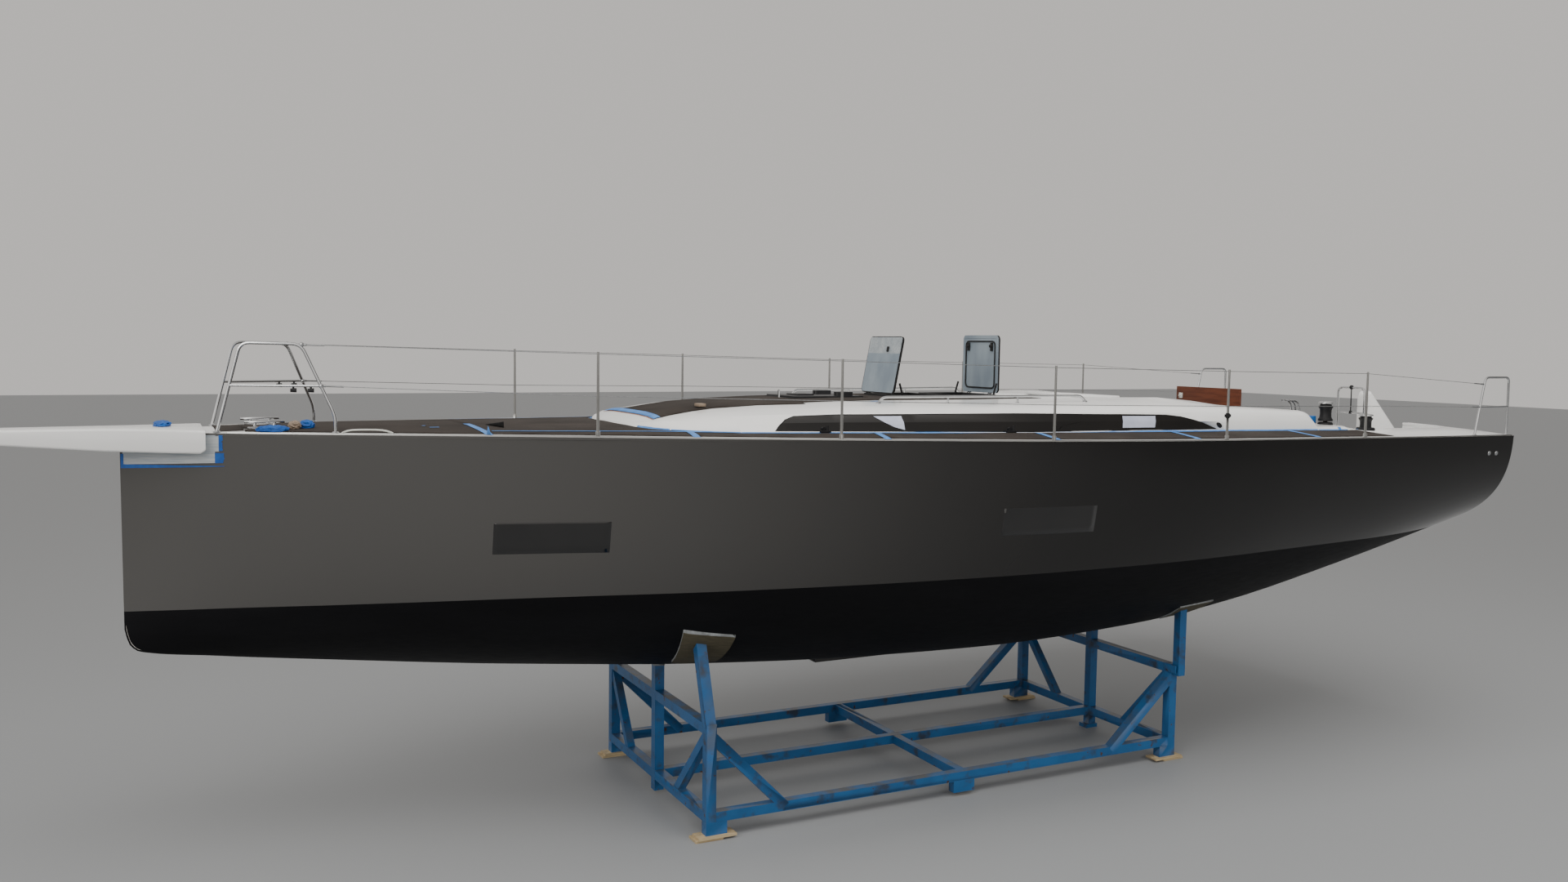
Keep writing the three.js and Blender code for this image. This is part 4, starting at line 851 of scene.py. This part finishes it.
card = surface("brown_paper", (0.3, 0.23, 0.17), (0.24, 0.18, 0.13), (0.6, 0.8), patch=30,
               grain=200, depth=0.0008)
crumpled = bmesh.new()
lump(crumpled, 0.295, -0.13, 3.437, (0.13, 0.27, 0.06), 3)
lump(crumpled, 1.035, 0.475, 3.428, (0.23, 0.09, 0.056), 5)
lump(crumpled, 1.3, 0.32, 3.445, (0.11, 0.09, 0.075), 8)
lump(crumpled, 1.205, 0.36, 3.445, (0.09, 0.07, 0.07), 11, 1)
piece("crumpled_tape", crumpled, [masking, card], smooth=25)
hose_white = surface("white_tube", (0.62, 0.63, 0.58), (0.52, 0.53, 0.49), (0.3, 0.5), patch=20,
                     grain=200)
arch = bmesh.new()
bar(arch, [on_deck(1.5, 0.742, 0.01), on_deck(1.56, 0.752, 0.034), on_deck(1.79, 0.812, 0.036),
           on_deck(1.86, 0.83, 0.01)], 0.007, 0.1)
piece("bent_tube", arch, hose_white)


# Loose ends of cover and tape on the foredeck, roof and side decks: a black flap that stands up and
# short light-blue pieces stuck down flat.
rubber_sheet = surface("black_sheet", (0.006, 0.006, 0.006), (0.012, 0.012, 0.012), (0.5, 0.8),
                       patch=20, grain=200, depth=0.0003, shine=0.2)
flap = bmesh.new()
fold = [on_deck(2.69, 0.265, 0.006), on_deck(2.77, 0.58, 0.006), on_deck(2.77, 0.58, 0.056)]
flap.faces.new([flap.verts.new(p) for p in fold])
bmesh.ops.subdivide_edges(flap, edges=flap.edges[:], cuts=3, use_grid_fill=True)
walled(piece("cover_flap", flap, rubber_sheet, smooth=60), 0.002)
SCRAPS = [
    # from, to: aft and y
    ((2.2, 0.49), (2.275, 0.49)), ((2.17, 0.34), (2.19, 0.36)), ((6.1, 0.765), (6.18, 0.765)),
    ((6.53, 1.5), (6.6, 1.5)), ((11.31, 1.525), (11.35, 1.525)), ((11.64, 1.48), (11.68, 1.48)),
]
scraps = bmesh.new()
for a, b in SCRAPS:
    strip(scraps, [flat(*a), flat(*b)], EDGE_TAPE, 0.0062, step=0.02, ragged=0.004)
piece("tape_scraps", scraps, tape, smooth=60)


# Lifelines: bare stainless wire rope, two a side, tensioned from the pulpit through the stanchions
# to the pushpit; each run between two posts is straight.
wire = surface("wire_rope", (0.5, 0.51, 0.52), (0.36, 0.37, 0.38), (0.25, 0.4), metal=1.0,
               patch=60, grain=700, depth=0.0003)
POST_IN = 0.03  # the posts stand this far in from the deck's edge
STANCHIONS = [(3.345, 0.665), (5.262, 0.658), (7.196, 0.65), (9.108, 0.65), (10.965, 0.65)]  # aft, tall
for side, sign in SIDES:
    lines = bmesh.new()
    for share, first, last in ((0.975, (1.25, 0.552, 4.066), (12.876, 2.035, 3.79)),
                               (0.48, (1.374, 0.632, PULPIT_MID), (12.838, 2.037, PUSHPIT_MID))):
        run = [place(first[0], sign * first[1], first[2])]
        for aft, post in STANCHIONS:
            y = lines_at(aft)[0] - POST_IN
            run.append(place(aft, sign * y, deck_z(aft, y - 0.02) + post * share))
        run.append(place(last[0], sign * last[1], last[2]))
        for a, b in zip(run, run[1:]):
            bar(lines, [a, b], 0.0028)
        for end, inward in ((run[0], run[1]), (run[-1], run[-2])):
            pull = (inward - end).normalized()
            pin(lines, end + pull * 0.02, end + pull * 0.16, 0.0065)
            pin(lines, end, end + pull * 0.03, 0.009)
    piece(f"lifelines_{side}", lines, wire)


# Bow cleats and mast base: polished castings bolted near the bow, and a black plate with a row of rope
# blocks where a mast would stand, screwed to the roof.
for side, _ in SIDES:
    copy_of("bow_cleat_" + side, stainless, smooth=40)
copy_of("mast_base", black, smooth=30, edge=0.002)


# Loop ahead of the mast place: bent stainless rod with two round feet, screwed to the roof. A small
# packing block of brown card lies loose ahead of it.
loop = bmesh.new()
bar(loop, [on_deck(5.54, 0.0, 0.002), on_deck(5.535, 0.005, 0.075), on_deck(5.505, 0.095, 0.075),
           on_deck(5.5, 0.1, 0.002)], 0.006, 0.03)
for y in (0.0, 0.1):
    foot(loop, on_deck(5.54 - 0.4 * y, y, 0.001), 0.014, 0.006)
piece("roof_loop", loop, stainless)
packing = bmesh.new()
block(packing, place(4.57, 0.43, 3.562), place(4.5, 0.53, 3.59), edge=0.004)
piece("packing_block", packing, card)


# Coamings: rope clutches with upright stainless levers on the step behind the port coaming's end, and a
# black oval vent low on the side of each coaming. All are screwed down.
clutches = bmesh.new()
levers = bmesh.new()
step_z = on_deck(11.03, 1.2).z - BLOCK
for k in range(3):
    y = 1.13 + 0.052 * k
    block(clutches, place(11.12, y - 0.021, step_z), place(10.975, y + 0.021, step_z + 0.118), edge=0.006)
    bar(levers, [place(11.075, y, step_z + 0.1), place(11.045, y, step_z + 0.205),
                 place(10.985, y, step_z + 0.24), place(10.915, y, step_z + 0.236)], 0.0085, 0.04)
piece("rope_clutches", clutches, black)
piece("clutch_levers", levers, stainless)
vents = bmesh.new()
for _, sign in SIDES:
    oval = bmesh.ops.create_cone(vents, cap_ends=True, segments=32, radius1=0.036, radius2=0.03,
                                 depth=0.014)["verts"]
    bmesh.ops.scale(vents, vec=(1, 0.62, 1), verts=oval)
    lean = Matrix.Rotation(math.radians(-78 * sign), 4, "X") @ Matrix.Rotation(math.radians(-38), 4, "Z")
    at = Matrix.Translation(place(9.65, sign * 1.512, 3.378))
    bmesh.ops.transform(vents, matrix=at @ lean, verts=oval)
piece("coaming_vents", vents, black)


# Side-deck blocks: two small black turning blocks on the port side deck, each a moulded base with a
# round post and a sheave across it, screwed through the deck.
deck_eyes = bmesh.new()
for aft, y in ((5.325, 1.335), (7.145, 1.49)):
    spot = on_deck(aft, y, 0.006)
    block(deck_eyes, spot + Vector((-0.05, -0.016, 0)), spot + Vector((0.05, 0.016, 0.02)), edge=0.004)
    pin(deck_eyes, spot + Vector((-0.018, 0, 0.018)), spot + Vector((-0.018, 0, 0.062)), 0.014, 0.01)
    pin(deck_eyes, spot + Vector((0.022, -0.014, 0.032)), spot + Vector((0.022, 0.014, 0.032)), 0.018)
piece("side_deck_blocks", deck_eyes, black)


# Blue box: a small moulded plastic case that stands on the step beside the rope clutches, put down
# there loose.
blue_plastic = surface("blue_plastic", (0.012, 0.09, 0.3), (0.02, 0.12, 0.36),
                       (0.3, 0.5), patch=20, grain=120, depth=0.0002)
case = bmesh.new()
case_z = on_deck(11.25, 1.22).z - BLOCK
block(case, place(11.29, 1.18, case_z), place(11.19, 1.26, case_z + 0.085), edge=0.008)
piece("blue_case", case, blue_plastic)


# Stanchion clamp and outlets: a black plastic clamp round one port post, and two pairs of polished
# outlets let into the topsides near the stern.
CLAMP_AFT = STANCHIONS[3][0]
clamp = bmesh.new()
post_y = lines_at(CLAMP_AFT)[0] - POST_IN
pin(clamp, place(CLAMP_AFT, post_y, 3.49), place(CLAMP_AFT, post_y, 3.536), 0.019)
block(clamp, place(CLAMP_AFT + 0.032, post_y - 0.012, 3.5),
      place(CLAMP_AFT - 0.032, post_y + 0.012, 3.526), edge=0.004)
piece("stanchion_clamp", clamp, black)
outlets = bmesh.new()
for aft, z, wide in ((12.958, 3.057, 0.026), (13.081, 3.053, 0.026)):
    for _, sign in SIDES:
        for r, out in ((wide, 0.004), (wide * 0.55, 0.0055)):
            spot, ahead_of = side_point(aft, z, -0.002), side_point(aft, z, out)
            spot.y *= sign
            ahead_of.y *= sign
            pin(outlets, spot, ahead_of, r, r * 0.85, 28)
piece("hull_outlets", outlets, stainless)


# Roof hatches: black rims with short arms beside them, and lids of smoked acrylic in a black frame with
# a rubber seal and handles. Both lids stand open, their faces still under blue and clear film.
acrylic = surface("smoked_acrylic", (0.17, 0.2, 0.23), (0.22, 0.25, 0.28), (0.12, 0.3),
                  patch=5, grain=30, depth=0.0003, coat=0.2, clear=0.35)
rubber = surface("rubber_seal", (0.01, 0.01, 0.01), (0.016, 0.016, 0.016), (0.6, 0.8),
                 patch=20, grain=300, depth=0.0001)
blue_film = surface("blue_film", (0.2, 0.25, 0.3), (0.3, 0.36, 0.41), (0.25, 0.5), patch=4,
                    grain=40, depth=0.0006, stretch=(3, 1, 0.4))
clear_film = surface("wrinkled_film", (0.42, 0.46, 0.48), (0.3, 0.34, 0.37), (0.15, 0.4),
                     patch=12, grain=70, depth=0.001)
HATCHES = {
    # from, to, hinge, side that it opens to, opening angle
    "fore": (6.645, 7.17, 6.632, 1, 79),
    "aft": (7.29, 7.835, 7.848, -1, 90),
}
HATCH_HALF, HATCH_AXIS, FRAME_WIDE = 0.29, 3.651, 0.03
LID_PAST, LID_BESIDE, LID_THICK, LID_LIFT, LID_CORNER = 0.038, 0.018, 0.02, 0.006, 0.045
HANDLE_OUT, FILM_IN, FILM_LIFT, ARM_OUT, ARM_FROM = 0.2, 0.008, 0.0166, 0.336, 0.07
for label, (fore, after, hinge, side, angle) in HATCHES.items():
    copy_of("hatch_rim_" + label, black, smooth=35)
    size = after - fore + LID_PAST
    wide = HATCH_HALF + LID_BESIDE
    pose = Matrix.Translation(place(hinge, 0, HATCH_AXIS)) @ Matrix.Rotation(
        math.radians(side * angle), 4, "Y") @ Matrix.Rotation(0 if side > 0 else math.pi, 4, "Z")
    lid = bmesh.new()
    bmesh.ops.create_cube(lid, size=1)
    bmesh.ops.scale(lid, vec=(size, 2 * wide, LID_THICK), verts=lid.verts)
    bmesh.ops.translate(lid, vec=(-size / 2, 0, LID_LIFT), verts=lid.verts)
    uprights = [e for e in lid.edges if abs((e.verts[0].co - e.verts[1].co).z) > 0.01]
    rounded(lid, uprights, LID_CORNER, 6)
    for z in (1, -1):
        top = max(lid.faces, key=lambda f: f.normal.z * z * f.calc_area())
        bmesh.ops.inset_region(lid, faces=[top], thickness=FRAME_WIDE, depth=0)
        bmesh.ops.inset_region(lid, faces=[top], thickness=0.002, depth=-0.003)
        top.material_index = 1
    lid.normal_update()
    for face in lid.faces:
        if face.normal.z < -0.5:
            face.material_index = 2
    bmesh.ops.transform(lid, matrix=pose, verts=lid.verts)
    piece(f"hatch_lid_{label}_look", lid, [black, acrylic, blue_film], f"hatch_{label}",
          [f"hatch_lid_{label}"])
    ring = bmesh.new()
    near, far, half = -0.05, 0.062 - size, wide - 0.058
    bar(ring, [(near, 0, -0.007), (near, half, -0.007), (far, half, -0.007), (far, -half, -0.007),
               (near, -half, -0.007), (near, 0, -0.007)], 0.0075, 0.05)
    for y in (-HANDLE_OUT, HANDLE_OUT):
        block(ring, (far + 0.012, y - 0.012, -0.024), (far + 0.098, y + 0.012, 0.002), edge=0.004)
        pin(ring, (far + 0.048, y, -0.036), (far + 0.048, y, -0.006), 0.015, 0.019)
    block(ring, (far + 0.04, 0.064, 0.012), (far + 0.092, 0.086, 0.034), edge=0.004)
    bmesh.ops.transform(ring, matrix=pose, verts=ring.verts)
    piece(f"hatch_seal_{label}", ring, rubber, f"hatch_{label}")
    film = bmesh.new()
    meet = 0.3 * size - size
    for x0, x1, slot in ((-FILM_IN, meet, 0), (meet, FILM_IN - size, 1)):
        sheet = bmesh.ops.create_grid(film, x_segments=12, y_segments=14, size=0.5)["verts"]
        for v in sheet:
            x = x0 + (x1 - x0) * (v.co.x + 0.5)
            y = v.co.y * 2 * (wide - FILM_IN)
            past = max(0, abs(y) - wide + 0.038) * (min(-FILM_IN - x, x - FILM_IN + size) < 0.012)
            y -= math.copysign(past * 0.5, y)
            wrinkle = 0.0012 * abs(noise.noise(Vector((x * 21, y * 17, slot))))
            v.co = Vector((x, y, FILM_LIFT + wrinkle))
        tinted(sheet, slot)
    bmesh.ops.transform(film, matrix=pose, verts=film.verts)
    piece(f"hatch_film_{label}", film, [blue_film, clear_film], f"hatch_{label}", smooth=30)
    arms = bmesh.new()
    for y in (-ARM_OUT, ARM_OUT):
        base = hinge + side * ARM_FROM
        bar(arms, [on_deck(base, y, 0.012), on_deck(base, y, 0.04), on_deck(base - side * 0.03, y, 0.135)],
            0.01, 0.02)
    piece(f"hatch_arms_{label}", arms, black)


# Companionway hatch: a white moulded plate that slides on two rails of the coachroof. Its edges are
# rounded in the mould.
copy_of("companionway_hatch", white, body="companionway_slide", edge=0.008)


# Transom platform: part of the stern's moulding, sprayed like the topsides. It folds down on two hinges
# at its foot.
copy_of("transom_platform", topsides, body="platform", smooth=30, edge=0.003)


# Helm pedestal: a white moulding like a thin fin, its outer after edge cut at a slant. It is bonded to
# the helm's sole.
copy_of("helm_pedestal", white, smooth=30, edge=0.006)


# Winches: black anodised drums with a drawn-in waist on fixed feet, and self-tailing jaws under a
# polished crown. They are bolted to the port coaming's step.
WINCHES = {
    # aft, y, z, foot, wide, tall
    "fore": (11.358, 1.318, 3.348, 0.078, 1.0, 1.17),
    "aft": (11.755, 1.5, 3.252, 0.096, 0.98, 1.02),
}
DRUM = [
    (0.0227, 0.028), (0.074, 0.028), (0.076, 0.036), (0.074, 0.046), (0.064, 0.056), (0.0595, 0.07),
    (0.058, 0.1), (0.0595, 0.126), (0.064, 0.14), (0.072, 0.15), (0.074, 0.156), (0.072, 0.162),
    (0.06, 0.167), (0.058, 0.172), (0.06, 0.178), (0.074, 0.183), (0.0765, 0.189), (0.074, 0.197),
    (0.06, 0.203), (0.034, 0.206), (0.03, 0.2), (0.014, 0.2), (0.0, 0.2),
]


def turned(bm, profile, centre):
    """Solid of revolution about an upright axis through a centre, from radius and height pairs."""
    knots = [bm.verts.new(Vector(centre) + Vector((r, 0, z))) for r, z in profile]
    edges = [bm.edges.new(pair) for pair in zip(knots, knots[1:])]
    bmesh.ops.spin(bm, geom=knots + edges, cent=centre, axis=(0, 0, 1), angle=2 * math.pi, steps=48,
                   use_merge=True)
    bmesh.ops.remove_doubles(bm, verts=bm.verts, dist=1e-5)
    bmesh.ops.recalc_face_normals(bm, faces=bm.faces)


for label, (aft, y, z, radius, wide, tall) in WINCHES.items():
    copy_of("winch_base_" + label, black, smooth=35)
    drum = bmesh.new()
    outline = [(r * wide if r > 0.023 else r, h * tall) for r, h in DRUM]
    turned(drum, [(0.0, 0.072 * tall), (0.0227, 0.072 * tall)] + outline, place(aft, y, z))
    for face in drum.faces:
        if face.calc_center_median().z > place(aft, y, z + 0.177 * tall).z:
            face.material_index = 1
    piece(f"winch_drum_{label}_look", drum, [black, stainless], "drum_" + label,
          ["winch_drum_" + label])


# Board: a reddish varnished plank stood on edge across the cockpit seats, with a small white latch
# screwed to its forward face.
mahogany = surface("varnished_board", (0.125, 0.038, 0.019), (0.078, 0.024, 0.013), (0.35, 0.55),
                   patch=7, grain=60, depth=0.0002, shine=0.2, stretch=(6, 0.6, 6))
copy_of("cockpit_board", mahogany, edge=0.003)
board_face = max(v.co.x for v in nodes["cockpit_board"].data.vertices)
latch = bmesh.new()
block(latch, (board_face + 0.0005, -0.47, 3.59), (board_face + 0.022, -0.425, 3.652), edge=0.004)
pin(latch, (board_face + 0.02, -0.448, 3.622), (board_face + 0.04, -0.448, 3.622), 0.01)
piece("board_latch", latch, hose_white)


# Cabin: plywood sole and bulkhead bonded to the hull, steps behind the companionway, and the engine in
# grey paint, bolted down under the cockpit.
plywood = surface("plywood", (0.42, 0.31, 0.18), (0.34, 0.24, 0.13), (0.5, 0.7), patch=5,
                  grain=90, depth=0.0002, stretch=(0.5, 6, 6))
cast_iron = surface("engine_paint", (0.1, 0.115, 0.125), (0.07, 0.08, 0.088), (0.4, 0.6),
                    patch=12, grain=140, depth=0.0006)
copy_of("cabin_sole", plywood)
copy_of("bulkhead_fore", plywood)
copy_of("companionway_steps", plywood, edge=0.004)
copy_of("engine_block", cast_iron, edge=0.02)


# Cradle: two frames of welded square tube, sprayed blue and worn, with plates on the post heads. It
# stands on pine boards under its four corner feet.
cradle_blue = surface("cradle_paint", (0.01, 0.082, 0.22), (0.015, 0.108, 0.28), (0.3, 0.5),
                      patch=3, grain=70, depth=0.0003)
layered(cradle_blue, (0.03, 0.045, 0.075), 0.56, 0.7, scale=7)
layered(cradle_blue, (0.075, 0.034, 0.016), 0.66, 0.7, scale=17)
layered(cradle_blue, (0.07, 0.075, 0.082), 0.4, 0.62, scale=5, upward=True)
pine = surface("pine_blocks", (0.5, 0.4, 0.24), (0.4, 0.3, 0.17), (0.6, 0.8), patch=6,
               grain=120, depth=0.0004, stretch=(0.6, 5, 5))
cradle = merged("cradle_frame")
for face in cradle.faces:
    if max(v.co.z for v in face.verts) < BLOCK + 0.0005:
        face.material_index = 1
piece("cradle_frame_look", cradle, [cradle_blue, pine], stands_for=["cradle_frame"], smooth=20)


# Pads: plywood plates faced with carpet and edged with pale tape, one on each post, bent to the bottom
# that lies on them.
carpet = surface("pad_carpet", (0.17, 0.15, 0.13), (0.11, 0.1, 0.09), (0.85, 0.98), patch=9,
                 grain=700, depth=0.002, sheen=0.3)
pad_board = surface("pad_plywood", (0.062, 0.054, 0.03), (0.09, 0.076, 0.044), (0.6, 0.8),
                    patch=9, grain=110, depth=0.0003, stretch=(1, 5, 5))
edging = surface("pad_edging", (0.3, 0.32, 0.33), (0.2, 0.21, 0.21), (0.5, 0.7), patch=30,
                 grain=200, depth=0.0002)
for label in ("front", "rear"):
    for side in ("port", "stbd", "keel"):
        pad = merged(f"pad_{label}_{side}")
        for face in pad.faces:
            face.material_index = 0 if face.normal.z > 0.3 else 1 if face.normal.z < -0.3 else 2
        made = piece(f"pad_{label}_{side}_look", pad, [carpet, pad_board, edging],
                     stands_for=[f"pad_{label}_{side}"])
